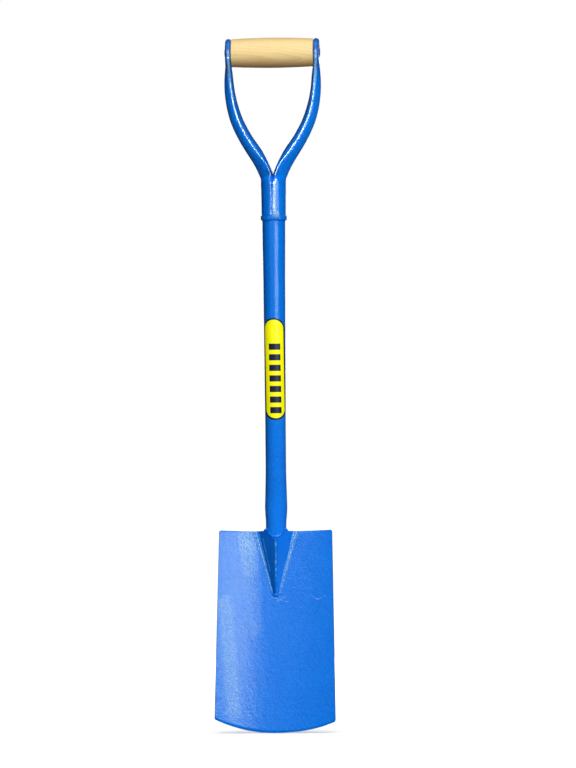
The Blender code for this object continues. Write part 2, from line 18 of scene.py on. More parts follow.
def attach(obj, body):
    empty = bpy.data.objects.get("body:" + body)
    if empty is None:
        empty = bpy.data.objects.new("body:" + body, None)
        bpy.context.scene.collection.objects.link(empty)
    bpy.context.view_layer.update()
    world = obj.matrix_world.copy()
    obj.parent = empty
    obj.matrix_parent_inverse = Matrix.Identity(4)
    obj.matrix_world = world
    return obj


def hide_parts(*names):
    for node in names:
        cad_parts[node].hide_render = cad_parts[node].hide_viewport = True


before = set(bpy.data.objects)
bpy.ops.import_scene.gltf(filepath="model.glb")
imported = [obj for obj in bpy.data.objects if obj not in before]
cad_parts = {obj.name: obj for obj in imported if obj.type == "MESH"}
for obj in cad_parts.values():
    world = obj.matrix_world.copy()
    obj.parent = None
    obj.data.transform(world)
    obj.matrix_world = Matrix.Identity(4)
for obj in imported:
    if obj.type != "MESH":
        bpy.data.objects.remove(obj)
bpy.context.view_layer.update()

bl_info = {
    "name": "Digging Spade",
    "version": (1, 0, 0),
    "blender": (4, 5, 0),
    "location": "3D View > Sidebar > Spade",
    "description": "Builds the finished pieces of a steel digging spade on its CAD frame",
    "category": "Add Mesh",
}

BODY = "root"
GAP = 0.0003
NOTCH_GAP = 0.00006

# The blade's lean and the shapes that meet on it
LIFT = math.radians(10.0)
FOOT_CORNER = 0.004
TOP_CORNER = 0.002
GRIND_HEIGHT = 0.0028
GRIND_LEFT = 0.0012
EDGE_LEFT = 0.0006
EDGE_RADIUS = 0.226
EDGE_LOW_SIDE = 0.0040
RIDGE_LENGTH = 0.092
RIDGE_TOP_HALF = 0.030
RIDGE_TOE_HALF = 0.005
RIDGE_TOP_CREST = 0.013
RIDGE_TOE_CREST = 0.0038
BLADE_EASING = 0.00025
RIDGE_EASING = 0.0004

# The shaft's foot, bend and top
SHAFT_WALL = 0.002
FOOT_RADIUS = 0.0149
FOOT_OFFSET = 0.001
BEND_ABOVE_BLADE = 0.035
BEND_RADIUS = 0.200
SHAFT_RISE = 0.4285
SHAFT_TOP_RADIUS = 0.01695
LIP_BELOW_TOP = 0.0112
LIP_SLOPE = 1.74
TAIL_BELOW_TOP = 0.042
TAIL_SLOPE = 1.2
SPIGOT_RADIUS = 0.0160
SPIGOT_LENGTH = 0.040

# Distance past the bend, and what pressing adds to the tube's half width and half depth there
SWELL = (
    (-0.026, 0.0, 0.0), (-0.013, 0.0007, -0.0006), (0.000, 0.0014, -0.0011),
    (0.013, 0.0011, -0.0009), (0.028, 0.0007, -0.0003), (0.057, 0.0001, 0.0001),
)

# Share of the shaft's rise, and share of the way from its foot's to its top's radius
TAPER = (
    (0.233, 0.05), (0.30, 0.05), (0.50, 0.29), (0.71, 0.58),
    (0.78, 0.61), (0.85, 0.76), (0.92, 0.93), (0.985, 1.0),
)

# Grip, rivet and handle
GRIP_END_RADIUS = 0.02045
GRIP_ROUNDING = 0.0012
RIVET_RADIUS = 0.004
RIVET_HEAD_RADIUS = 0.007
RIVET_HEAD_HEIGHT = 0.0012
SOCKET_RADIUS = 0.0180
SOCKET_BORE_DEPTH = 0.044
SEAM_DEPTH = 0.0026
CROTCH_RISE = 0.064
GRIP_RISE = 0.2384
EAR_RADIUS = 0.02085
EAR_THICK = 0.0084
EAR_INSIDE = 0.0605
EAR_MIDDLE = EAR_INSIDE + EAR_THICK / 2
EAR_ROUNDING = (0.0036, 0.0046)
EAR_ROOM = 0.0004
BORE_TIP = 0.0022

# Height above the socket's foot, an arm's offset from the middle, its width and its depth
ARM = (
    (0.0336, 0.00697, 0.0203, 0.0288),
    (0.0515, 0.00810, 0.0205, 0.0324),
    (0.0662, 0.01247, 0.0212, 0.0305),
    (0.0808, 0.01957, 0.0216, 0.0275),
    (0.0954, 0.02890, 0.0211, 0.0245),
    (0.1100, 0.03843, 0.0201, 0.0225),
    (0.1248, 0.04655, 0.0194, 0.0212),
    (0.1392, 0.05304, 0.0188, 0.0208),
    (0.1538, 0.05770, 0.0179, 0.0208),
    (0.1684, 0.06105, 0.0166, 0.0212),
    (0.1831, 0.06318, 0.0152, 0.0222),
    (0.1975, 0.06409, 0.0137, 0.0240),
    (0.2098, 0.06429, 0.0118, 0.0275),
    (0.2192, 0.06440, 0.0100, 0.0325),
    (0.2265, 0.06470, 0.0080, 0.0365),
    (0.2313, 0.06470, 0.0060, 0.0385),
    (0.2384, 0.06470, 0.0054, 0.0395),
)

# Label and welds
LABEL_THICK = 0.0003
LABEL_MIDDLE = 0.2035
LABEL_ASIDE = 0.03
LABEL_SKEW = 0.077
COLLAR_CROWN = 0.00105
COLLAR_HEIGHT = 0.0075
RIDGE_WELD_REACH = 0.0046
RIDGE_WELD_CROWN = 0.0019
TOE_WELD_HALF = 0.0062
TOE_WELD_CROWN = 0.0022
TOE_WELD_LENGTH = 0.0046
LIP_BEAD = 0.0013
LIP_BEAD_TURN = math.radians(56)
BLOB_REACH = 0.0058
BLOB_HEIGHT = 0.0018
BLOB_ASIDE = math.radians(14)
BLOB_RISE = 0.002
FOOT_WELD_LEG = 0.0036
FOOT_WELD_TURN = math.radians(16)
TAIL_WELD_LEG = 0.0032
LUMP_SIZE = 0.0036
ROUGH_LUMP_SIZE = 0.0030
DROP_DENSITY = 42000.0
DROP_BELOW_TOP = 0.003
DROP_STRIP_LENGTH = 0.058

# Strips that catch spatter: the side, where each begins and ends beside the joint, and how low it starts
DROP_STRIPS = ((1, 0.0040, 0.0105, 0.0), (-1, 0.0040, 0.0062, 0.030))

SIDES = ((-1, "left"), (1, "right"))

# How far an arm's front crest lies towards the other arm, as a share of its depth
ARM_CREST = 0.26
FORK_CREST = 0.20
CREST_ROUNDING = 0.0015

# Heights on the handle between which one shape gives way to the next
SOCKET_SWELLS = (0.010, 0.055)
SOCKET_TO_ARM = (0.046, 0.060)
SEAM_SOFTENS = (0.050, 0.060)
SEAM_ENDS = (0.050, 0.062)
ARM_LEANS = (0.046, 0.070)
FORK_TO_ARM = (0.068, 0.096)
CREST_GROWS = (0.060, 0.088)
CREST_FADES = (0.200, 0.228)
ARM_ENDS = (0.2300, 0.2400)

# Heights between which a ring is all arm, with neither socket nor ear in it
ONLY_ARM = (0.070, 0.212)

# The label's border, and where its column of bars begins and ends
BORDER_END = (0.0022, 0.0027)
BORDER_SIDE = (0.0151, 0.0157)
BAR_PITCH = 0.01548
BARS_START = -0.0681
BARS_MIDDLE = -0.0139
BARS_HALF_LENGTH = (0.0525, 0.0530)
BARS_ASIDE = 0.0004
BARS_HALF_WIDTH = (0.0085, 0.0089)

# Turns of a mesh's surface above which its edges stay sharp
SHARP = math.radians(38)
SHARP_PLATE = math.radians(50)
SHARP_WELD = math.radians(70)

# Groups of pieces that are lit alike, by how their names begin
BLADE_SIDE = ("blade_plate", "ridge_bead", "toe_bead", "lip_bead", "weld_spatter")
SHAFT_SIDE = ("shaft", "label", "foot_bead", "tail_bead")
HANDLE_SIDE = ("handle", "turned_grip", "grip_rivet", "collar")

# Softboxes: the pieces each one lights, its azimuth, width, lowest and highest point and share
SOFTBOXES = (
    ("blade_softbox", BLADE_SIDE, 28, 1.28, 0.62, 1.10, 0.96),
    ("blade_strip", BLADE_SIDE, 20, 0.20, 0.62, 1.10, 0.8),
    ("shaft_softbox", SHAFT_SIDE, 28, 1.28, 0.62, 0.84, 1.42),
    ("shaft_strip", SHAFT_SIDE, 20, 0.20, 0.62, 0.84, 1.15),
    ("handle_softbox", HANDLE_SIDE, 28, 1.28, 0.62, 1.02, 1.05),
    ("handle_strip", HANDLE_SIDE, 20, 0.20, 0.62, 1.02, 0.85),
    ("arm_softbox", ("handle", "grip_rivet"), 3, 1.30, 0.90, 1.30, 9.0),
)

SOFTBOX_COLOUR = (0.87, 1.0, 0.80)
REFLECTED_ONLY = ("arm_softbox",)

# Panels overhead: where they stand, and the pieces each one lights, its width and share of the top light
ABOVE = (3, 0.33, 2.10)
GRIP_HEIGHT = 0.99
OVERHEAD = (
    ("grip_panel", ("turned_grip",), 1.3, 1.0),
    ("ear_panel", ("handle", "grip_rivet"), 0.5, 1.5),
)

# Soft daylight: the pieces each one lights, its azimuth, elevation, share and whether it casts shadow
DAYLIGHT = (
    ("blade_daylight", BLADE_SIDE, 5, 34, 1.08, True),
    ("ridge_daylight", ("ridge_fold",), 56, 22, 1.50, False),
    ("shaft_daylight", SHAFT_SIDE, 20, 34, 1.18, True),
    ("handle_daylight", HANDLE_SIDE, 20, 34, 1.03, True),
    ("grip_daylight", ("turned_grip",), 10, -14, 0.58, False),
)

# How far the lights in front stand off
WALL = 2.0

# Panels: the azimuth, distance and height where each stands, the height it faces, and its width and height
FRONT_FILL = (-18, WALL, 0.85, 0.85, 1.90, 0.50)
HIGH_FRONT = (4, WALL, 1.55, 1.2, 2.6, 0.60)
BACK_PANEL = (180, 2.6, 1.0, 0.6, 1.6, 1.6)
BACK_GLOW = 2.2

# The photograph's frame: metres in a pixel, its height in pixels, and the sensor's width in millimetres
PIXEL = 0.0014657
FRAME_HEIGHT = 768
FRAME_SENSOR = 36.0

# The point in the frame's middle: how far to the right, and how far back and up
FRAME_ASIDE = 0.0188
FRAME_MIDDLE = (0.0557, 0.5086)

# Scratches and pale marks on the blade's face: where each begins and ends, as x and z
SCRATCHES = (
    ((0.0513, 0.2004), (0.0572, 0.1958)), ((0.0572, 0.1958), (0.0640, 0.1937)),
    ((0.0616, 0.1947), (0.0680, 0.1958)), ((0.0680, 0.1958), (0.0733, 0.1994)),
    ((-0.0060, 0.1975), (0.0161, 0.1900)), ((0.0015, 0.1905), (0.0147, 0.1985)),
    ((-0.0100, 0.1935), (-0.0020, 0.1985)), ((0.0160, 0.0056), (0.0172, 0.0055)),
    ((0.0210, 0.0053), (0.0222, 0.0054)), ((0.0262, 0.0056), (0.0270, 0.0055)),
    ((0.0330, 0.0060), (0.0342, 0.0062)), ((-0.0014, 0.1981), (0.0056, 0.1981)),
)
SCRATCH_WIDTH = 0.00062

# Points of a painted highlight down the front of the arms: distance from the middle, and height
ARM_HIGHLIGHT_LINE = ((0.0638, 0.9890), (0.0638, 0.9640), (0.0613, 0.9420), (0.0545, 0.9127))
ARM_HIGHLIGHT_WIDTH = 0.0027

# A painted highlight line inside the left weld, along the ridge plate's edge, and its width
PLATE_EDGE_HIGHLIGHT = ((-0.0190, 0.2823), (-0.0086, 0.2355), 0.0010)

# Bands of painted highlight, with a paler sparkle in them, down the blade's left: where each begins and
# ends, its width and its strength
PAINTED_HIGHLIGHT_BANDS = (
    ((-0.0440, 0.315), (-0.0402, 0.272), 0.019, 0.38),
    ((-0.0430, 0.305), (-0.0380, 0.240), 0.018, 0.28),
    ((-0.0385, 0.258), (-0.0300, 0.150), 0.016, 0.18),
    ((-0.0737, 0.190), (-0.0603, 0.030), 0.015, 0.34),
)

# Heights on the standing spade where the paint, its painted highlights and its painted shade change, and for
# dull paint how much rougher it gets
FORK_HEIGHT = 0.820
EAR_SHADE_RISE = (0.986, 0.992)
GRIP_SHADE_RISE = (0.9725, 0.9900)
SHAFT_DULL = (0.58, 0.42, 0.75)
HANDLE_DULL = (0.984, 0.994, 0.22)
FOLD_HIGHLIGHT_RISE = (0.214, 0.240)
ARM_HIGHLIGHT_RISE = (0.915, 0.955)

# Distances over which one tone gives way to another, for chipped paint, painted highlights and painted shade
EDGE_CHIPS = (0.0004, 0.0040)
FOLD_LINE = (0.0003, 0.0014)
MIDDLE_BLEND = (-0.004, 0.004)
FORK_SHADE_REACH = (0.0030, 0.0110)

# Sizes of the clouds, patches and grains in the finishes
CLOUD_SIZE = 0.030
CHIP_SIZE = 0.0016
CHIP_PATCH_SIZE = 0.022
SCRATCH_BREAK_SIZE = 0.0030
SPARKLE_SIZE = 0.0019
DASH_SIZE = 0.0056
CRUMB_SIZE = 0.0022
EAR_SHADE_PATCH_SIZE = 0.009
INK_WEAR_SIZE = 0.0014
MOTTLE_SIZE = 0.012
FILM_SKIN_SIZE = 0.0032

# Painted light: the glow that the label gives of itself, though it is no lamp, as a share of its colour
LABEL_PAINTED_GLOW = 0.28

# The grip's grain: where the tree's heart lies, its rings, how far they wander, its fibres and its pores
HEART = (0.012, 0.018, -0.95)
RING_STRETCH = (0.16, 1.0, 1.0)
RING_WIDTH = 0.0034
WANDER_SIZE = 0.010
WANDER_REACH = 0.0042
FIBRE_SIZE = 0.0008
FIBRE_STRETCH = (0.035, 1.0, 1.0)
PORE_SIZE = 0.00042

# Colours of scratches, paint grains, bare steel and pores, of painted highlights and painted shade, and
# black
SCRATCH_BLUE = (0.42, 0.72, 0.92)
HIGHLIGHT_BAND_BLUE = (0.46, 0.72, 0.90)
FOLD_HIGHLIGHT_BLUE = (0.30, 0.74, 1.0)
EDGE_HIGHLIGHT_BLUE = (0.16, 0.52, 1.0)
ARM_HIGHLIGHT_BLUE = (0.34, 0.66, 1.0)
WELD_HIGHLIGHT_BLUE = (0.32, 0.64, 1.0)
GRAIN_BLUE = (0.03, 0.38, 1.0)
EAR_SHADE_BLUE = (0.022, 0.060, 0.14)
INNER_FACE_SHADE_BLUE = (0.012, 0.070, 0.24)
FORK_SHADE_BLUE = (0.0, 0.03, 0.16)
BARE_STEEL = (0.55, 0.56, 0.58)
PORE_BROWN = (0.30, 0.15, 0.05)
UNDERSIDE_SHADE_BROWN = (0.42, 0.21, 0.09)
BLACK = (0.0, 0.0, 0.0)


# Sizes and colours that a user would change


def metres(name, description, default):
    return bpy.props.FloatProperty(name=name, description=description, default=default, unit="LENGTH")


def degrees(name, description, default):
    angle = math.radians(default)
    return bpy.props.FloatProperty(name=name, description=description, default=angle, subtype="ANGLE")


def glow(name, description, default):
    return bpy.props.FloatProperty(name=name, description=description, default=default)


def colour(name, description, default):
    return bpy.props.FloatVectorProperty(
        name=name, description=description, default=default, subtype="COLOR", size=3, min=0.0, max=1.0
    )


class SpadeBlade(bpy.types.PropertyGroup):
    length: metres("Length", "Blade from its cutting edge to its top", 0.297)
    top_width: metres("Top width", "Width of the flat blank at its top", 0.168)
    foot_width: metres("Foot width", "Width of the flat blank at its foot", 0.1795)
    thickness: metres("Thickness", "Thickness of the plate", 0.0025)
    dish_radius: metres("Dish radius", "Radius of the hollow face", 0.265)
    fold: metres("Fold", "Rounding of the ridge plate's fold", 0.002)


class SpadeHandle(bpy.types.PropertyGroup):
    grip_length: metres("Grip length", "Wooden barrel from end to end", 0.1204)
    grip_belly: metres("Grip belly", "Radius of the barrel at its middle", 0.02215)
    seam_offset: metres("Seam offset", "How far the socket's seam lies to the right", -0.0015)
    seam_width: metres("Seam width", "Width of the socket's open seam", 0.0009)
    label_length: metres("Label length", "Label from end to end", 0.149)
    label_width: metres("Label width", "Label laid flat", 0.0372)


class SpadeWelds(bpy.types.PropertyGroup):
    ripple_pitch: metres("Ripple pitch", "Distance from one weld ripple to the next", 0.0024)
    ripple_height: metres("Ripple height", "Height of a weld ripple", 0.00035)
    lump_height: metres("Lump height", "Unevenness of a bead", 0.0005)
    drop_radius: metres("Drop radius", "Largest drop of spatter", 0.0012)
    seed: bpy.props.IntProperty(name="Seed", description="Order of lumps and drops", default=4)


class SpadeFinish(bpy.types.PropertyGroup):
    paint: colour("Paint", "Colour of the steel's paint", (0.0005, 0.20, 0.94))
    weld_paint: colour("Paint on welds", "Colour of the paint on the beads", (0.0010, 0.24, 0.92))
    wood: colour("Wood", "Colour of the grip between its grain lines", (0.82, 0.605, 0.285))
    grain: colour("Grain", "Colour of the grip's grain lines", (0.72, 0.465, 0.198))
    label: colour("Label", "Colour of the label", (0.98, 0.93, 0.0))
    print_colour: colour("Print", "Colour of the bars on the label", (0.006, 0.008, 0.05))
    grain_size: metres("Grain size", "Size of the paint's pale grains", 0.0021)
    peel_size: metres("Peel size", "Size of the paint's orange peel", 0.0024)
    peel_depth: metres("Peel depth", "Depth of the paint's orange peel", 0.00040)


class SpadeStage(bpy.types.PropertyGroup):
    distance: metres("Distance", "Camera to the shaft", 10.0)
    turn: degrees("Turn", "How far the camera stands to the right of the front", 3.5)
    roll: degrees("Roll", "How far the camera is rolled", -0.48)
    key_light: glow("Key light", "Glow of the softboxes", 5.6)
    top_light: glow("Top light", "Glow of the panels overhead", 4.6)
    high_light: glow("High light", "Glow of the high front panel", 2.5)
    fill_light: glow("Fill light", "Glow of the panel on the left", 0.4)
    soft_light: glow("Soft light", "Strength of the soft daylight", 0.52)


def setting(group):
    """The sizes or colours that are set in this group."""
    return getattr(bpy.context.scene, f"spade_{group}")


GROUPS = (
    ("spade_blade", SpadeBlade),
    ("spade_handle", SpadeHandle),
    ("spade_welds", SpadeWelds),
    ("spade_finish", SpadeFinish),
    ("spade_stage", SpadeStage),
)


# Node trees written as expressions


class Wire:
    """A node's output. Arithmetic on it adds Math nodes to its tree."""

    def __init__(self, tree, socket):
        self.tree = tree
        self.socket = socket

    def math(self, operation, *others):
        return self.tree.node("ShaderNodeMath", {"operation": operation}, dict(enumerate((self, *others))))

    def __rsub__(self, other):
        return (self * -1.0) + other

    def __rtruediv__(self, other):
        return (self ** -1.0) * other

    def reach(self, other):
        """How far off the point is that lies this far along one way and other along the other."""
        return (self * self + other * other) ** 0.5

    def ramp(self, low, high):
        """0 up to low and 1 from high on, smoothed between."""
        sockets = {"Value": self, "From Min": low, "From Max": high}
        return self.tree.node("ShaderNodeMapRange", {"interpolation_type": "SMOOTHSTEP"}, sockets)


for method, operation in (
    ("__add__", "ADD"), ("__radd__", "ADD"), ("__sub__", "SUBTRACT"), ("__mul__", "MULTIPLY"),
    ("__truediv__", "DIVIDE"), ("__pow__", "POWER"), ("least", "MINIMUM"), ("most", "MAXIMUM"),
    ("sine", "SINE"), ("cosine", "COSINE"), ("arcsine", "ARCSINE"), ("size", "ABSOLUTE"),
    ("sign", "SIGN"), ("fraction", "FRACT"),
):
    setattr(Wire, method, partialmethod(Wire.math, operation))


class Nodes:
    """A node tree that is filled one call at a time."""

    def __init__(self, tree):
        self.tree = tree
        self.place = None

    def feed(self, made, sockets):
        """Gives each socket named its value or its wire."""
        for key, value in sockets.items():
            if isinstance(value, Wire):
                self.tree.links.new(value.socket, made.inputs[key])
            else:
                made.inputs[key].default_value = value

    def node(self, kind, settings=None, sockets=None, out=0):
        """Adds a node with these settings and sockets, and gives the wire from one of its outputs."""
        made = self.tree.nodes.new(kind)
        for name, value in (settings or {}).items():
            setattr(made, name, value)
        self.feed(made, sockets or {})
        return Wire(self, made.outputs[out])

    def mix_colour(self, factor, first, second):
        first, second = (c if isinstance(c, Wire) else (*c, 1.0) for c in (first, second))
        return self.node("ShaderNodeMix", {"data_type": "RGBA"}, {0: factor, 6: first, 7: second}, out=2)

    def noise(self, size, detail=2.0, roughness=0.5, place=None):
        """Clouds of this size over the piece's own coordinates, or over others."""
        sockets = {"Vector": place or self.place, "Scale": 1.0 / size}
        return self.node("ShaderNodeTexNoise", None, {**sockets, "Detail": detail, "Roughness": roughness})

    def split(self, vector=None):
        sockets = {0: vector or self.place}
        return [self.node("ShaderNodeSeparateXYZ", None, sockets, out=axis) for axis in range(3)]

    def attribute(self, name):
        return self.node("ShaderNodeAttribute", {"attribute_name": name}, out=2)

    def bump(self, height, depth, strength=1.0):
        return self.node("ShaderNodeBump", None, {"Strength": strength, "Distance": depth, "Height": height})

    def facing(self):
        """The surface's direction, as its x, y and z."""
        return self.split(self.node("ShaderNodeTexCoord", out=1))

    def front(self):
        """1 on faces that look forward, and 0 on those that look aside or back."""
        return (self.facing()[1] * -1.0).ramp(0.2, 0.6)


# Materials


def new_material(name):
    """A material, its tree and its shader."""
    made = bpy.data.materials.new(name)
    made.use_nodes = True
    nodes = Nodes(made.node_tree)
    nodes.place = nodes.node("ShaderNodeTexCoord", out=3)
    return made, nodes, made.node_tree.nodes["Principled BSDF"]


def scratch(x, z, start, end, width):
    """1 on a straight stroke from start to end, and 0 off it."""
    start, end = Vector(start), Vector(end)
    along = (end - start).normalized()
    aside, up = x - start.x, z - start.y
    run = (aside * along.x + up * along.y).most(0.0).least((end - start).length)
    return 1.0 - (aside - run * along.x).reach(up - run * along.y).ramp(width * 0.3, width)


def scratches(x, z, strokes, width):
    return reduce(Wire.most, [scratch(x, z, start, end, width) for start, end in strokes])


def blade_wear_and_painted_highlights(nodes, base):
    """Paint chipped off the cutting edge, scratches on the front face, and bands of painted highlight down
    the face's left.
    """
    near_edge = 1.0 - nodes.attribute("rise").ramp(*EDGE_CHIPS)
    spots = nodes.noise(CHIP_SIZE, 3.0, 0.6)
    patches = nodes.noise(CHIP_PATCH_SIZE)
    chip = near_edge * spots.ramp(0.60, 0.66) * patches.ramp(0.50, 0.60)
    x, _, z = nodes.split()
    front = nodes.front()
    unbroken = nodes.noise(SCRATCH_BREAK_SIZE, 1.0).ramp(0.30, 0.62)
    marks = scratches(x, z, SCRATCHES, SCRATCH_WIDTH) * unbroken * front
    base = nodes.mix_colour(marks * 0.52, base, SCRATCH_BLUE)
    sparkle = nodes.noise(SPARKLE_SIZE, 2.0, 0.6).ramp(0.46, 0.60)
    # Painted highlight: pale bands down the left of the front face
    for start, end, width, strength in PAINTED_HIGHLIGHT_BANDS:
        highlight_band = scratch(x, z, start, end, width) * front * strength
        base = nodes.mix_colour(highlight_band * (0.20 + sparkle * 0.80), base, HIGHLIGHT_BAND_BLUE)
    return nodes.mix_colour(chip, base, BARE_STEEL), chip * 0.9


def crest_painted_highlights(nodes, base):
    """Painted highlight in pale dashes along the ridge plate's fold, and a painted highlight line along its
    left edge.
    """
    x, _, z = nodes.split()
    front = nodes.front()
    spots = nodes.noise(DASH_SIZE, 1.0, 0.6).ramp(0.50, 0.60)
    # Painted highlight: pale dashes along the fold's crest, on the plate's upper part
    fold_highlight = (1.0 - x.size().ramp(*FOLD_LINE)) * (0.14 + spots * 0.86) * z.ramp(*FOLD_HIGHLIGHT_RISE)
    base = nodes.mix_colour(fold_highlight * front * 0.85, base, FOLD_HIGHLIGHT_BLUE)
    # Painted highlight: a thin pale line along the plate's left edge, inside the weld
    edge_highlight = scratch(x, z, *PLATE_EDGE_HIGHLIGHT) * (0.35 + spots * 0.45) * front
    return nodes.mix_colour(edge_highlight, base, EDGE_HIGHLIGHT_BLUE), 0.0


def handle_painted_light(nodes, base):
    """Painted highlight in a pale line down the arms, and painted shade on the ears, on the arms' inner
    faces and in the fork.
    """
    x, _, z = nodes.split()
    # Painted highlight: a pale line down the front of each arm
    line = scratches(x.size(), z, zip(ARM_HIGHLIGHT_LINE, ARM_HIGHLIGHT_LINE[1:]), ARM_HIGHLIGHT_WIDTH)
    crumbs = nodes.noise(CRUMB_SIZE, 2.0, 0.6).ramp(0.38, 0.58)
    line = line * nodes.front() * (0.40 + crumbs * 0.45) * z.ramp(*ARM_HIGHLIGHT_RISE)
    # Painted shade: the ears darker, in patches
    ears = z.ramp(*EAR_SHADE_RISE)
    patches = nodes.noise(EAR_SHADE_PATCH_SIZE)
    base = nodes.mix_colour(ears * (0.36 + patches * 0.32), base, EAR_SHADE_BLUE)
    # Painted shade: the arms' inner faces darker above the fork
    inner_face_shade = (nodes.facing()[0] * (1.0 - x.ramp(*MIDDLE_BLEND) * 2.0)).ramp(0.15, 0.60)
    above_fork = z.ramp(FORK_HEIGHT - 0.004, FORK_HEIGHT + 0.016) * (1.0 - ears)
    base = nodes.mix_colour(inner_face_shade * above_fork * 0.72, base, INNER_FACE_SHADE_BLUE)
    # Painted shade: a dark patch in the fork between the arms
    fork = 1.0 - x.reach(z - FORK_HEIGHT).ramp(*FORK_SHADE_REACH)
    base = nodes.mix_colour(fork * 0.80, base, FORK_SHADE_BLUE)
    return nodes.mix_colour(line, base, ARM_HIGHLIGHT_BLUE), 0.0


def weld_painted_highlights(nodes, base):
    """Painted highlights: pale spots along a bead's crest."""
    spots = nodes.noise(CRUMB_SIZE, 2.0, 0.6).ramp(0.38, 0.54)
    crest = nodes.attribute("crown").ramp(0.40, 0.85)
    return nodes.mix_colour(crest * spots * 0.94, base, WELD_HIGHLIGHT_BLUE), 0.0


def painted(name, paint, gloss=0.24, peel=1.0, sparkle=1.0, shine=1.5, wear=None, dull=None):
    """Blue stove paint over steel: orange peel, a fine sparkle of pale grains and faint clouds of tone.

    dull is a height, the height where the paint is roughest, and how much rougher it is there.
    """
    finish = setting("finish")
    made, nodes, shader = new_material(name)
    red, green, blue = paint
    cloud = nodes.noise(CLOUD_SIZE, 3.0)
    fine = nodes.noise(finish.grain_size, 2.0, 0.55)
    peel_skin = nodes.noise(finish.peel_size, 2.0, 0.5)
    peel_wave = nodes.noise(finish.peel_size * 3.3, 1.0)
    deep = (red, green * 0.90, blue * 0.92)
    light = (red * 2.0 + 0.0008, min(green * 1.14, 1.0), min(blue * 1.07, 1.0))
    tone = (cloud * 0.20 + fine * 0.60 + peel_skin * 0.20).ramp(0.36, 0.64)
    base = nodes.mix_colour(tone, deep, light)
    base = nodes.mix_colour(fine.ramp(0.52, 0.70) * (0.20 * sparkle), base, GRAIN_BLUE)
    rough = gloss + (cloud - 0.5) * 0.06 + (fine - 0.5) * 0.10
    if dull:
        start, end, amount = dull
        rise = nodes.split()[2].ramp(min(start, end), max(start, end))
        rough = rough + (rise if end > start else 1.0 - rise) * amount
    metal = 0.0
    # wear lays marks over the paint: real chips and scratches, and also painted highlights and painted shade
    if wear:
        base, metal = wear(nodes, base)
    nodes.feed(shader, {
        "Base Color": base, "Roughness": rough, "Metallic": metal, "IOR": shine,
        "Normal": nodes.bump(peel_skin * 0.75 + peel_wave * 0.5, finish.peel_depth * peel),
        "Coat Weight": 1.0 if shine > 1.6 else 0.0, "Coat Roughness": 0.12, "Coat IOR": 1.6,
    })
    return made


def turned_wood(name):
    """Pale turned ash: long grain lines that close into arches, fine pores and a thin satin lacquer."""
    finish = setting("finish")
    made, nodes, shader = new_material(name)
    heart = {"Vector": nodes.place, "Location": HEART, "Scale": RING_STRETCH}
    along = nodes.node("ShaderNodeMapping", None, heart)
    across, depth, height = nodes.split(along)
    wander = nodes.noise(WANDER_SIZE, place=along)
    rings = (depth.reach(height) + across * 0.42 + wander * WANDER_REACH) / RING_WIDTH
    ring_wave = rings.fraction()
    late_wood = ring_wave.ramp(0.15, 0.92) * (1.0 - ring_wave.ramp(0.93, 1.0))
    stretch = nodes.node("ShaderNodeMapping", None, {"Vector": nodes.place, "Scale": FIBRE_STRETCH})
    fibre = nodes.noise(FIBRE_SIZE, 3.0, 0.6, stretch)
    pores = nodes.noise(PORE_SIZE, 2.0, 0.5, stretch).ramp(0.60, 0.72)
    patches = nodes.noise(CLOUD_SIZE)
    line = late_wood * 0.50 + (fibre - 0.5) * 0.55 + (patches - 0.5) * 0.25
    base = nodes.mix_colour(line.ramp(0.0, 1.0), tuple(finish.wood), tuple(finish.grain))
    base = nodes.mix_colour(pores * 0.35, base, PORE_BROWN)
    # Painted shade: the grip darker and browner towards its underside
    underside_shade = 1.0 - nodes.split()[2].ramp(*GRIP_SHADE_RISE)
    base = nodes.mix_colour(underside_shade * 0.85, base, UNDERSIDE_SHADE_BROWN)
    nodes.feed(shader, {
        "Base Color": base, "Roughness": 0.42 + fibre * 0.16,
        "Normal": nodes.bump(fibre * 0.5 - pores * 0.6 - late_wood * 0.15, 0.00012, 0.6),
        "Coat Weight": 0.15, "Coat Roughness": 0.30,
    })
    return made


def printed_film(name):
    """Yellow vinyl with a dark border and a column of plain bars, read from the film's own lengths."""
    finish = setting("finish")
    made, nodes, shader = new_material(name)
    inset, run, side = (nodes.attribute(word) for word in ("inset", "run", "side"))
    border = (1.0 - inset.ramp(*BORDER_END)).most(side.size().ramp(*BORDER_SIDE))
    bar = (((run - BARS_START) / BAR_PITCH).fraction() - 0.5).size()
    in_bar = 1.0 - bar.ramp(0.28, 0.31)
    in_column = 1.0 - (side - BARS_ASIDE).size().ramp(*BARS_HALF_WIDTH)
    in_rows = 1.0 - (run - BARS_MIDDLE).size().ramp(*BARS_HALF_LENGTH)
    wear = nodes.noise(INK_WEAR_SIZE, 3.0, 0.7)
    ink = (in_bar * in_column * in_rows).most(border) * (1.0 - wear.ramp(0.66, 0.74) * 0.35)
    mottle = nodes.noise(MOTTLE_SIZE, 3.0)
    shade = tuple(part * 0.93 for part in finish.label)
    yellow = nodes.mix_colour(mottle.ramp(0.3, 0.7), shade, tuple(finish.label))
    skin = nodes.noise(FILM_SKIN_SIZE)
    # The emission is painted light: the yellow film glows a little of itself
    nodes.feed(shader, {
        "Base Color": nodes.mix_colour(ink, yellow, tuple(finish.print_colour)),
        "Roughness": 0.30 + mottle * 0.12 + ink * 0.06,
        "Normal": nodes.bump(skin + ink * 0.15, 0.00008, 0.6),
        "Coat Weight": 0.3, "Coat Roughness": 0.2,
        "Emission Color": nodes.mix_colour(ink, yellow, BLACK), "Emission Strength": LABEL_PAINTED_GLOW,
    })
    return made


# Meshes


def at(u, v, w):
    """The blade's (u, v, w) as a point of its leaning frame."""
    return Vector((u, -w, v))


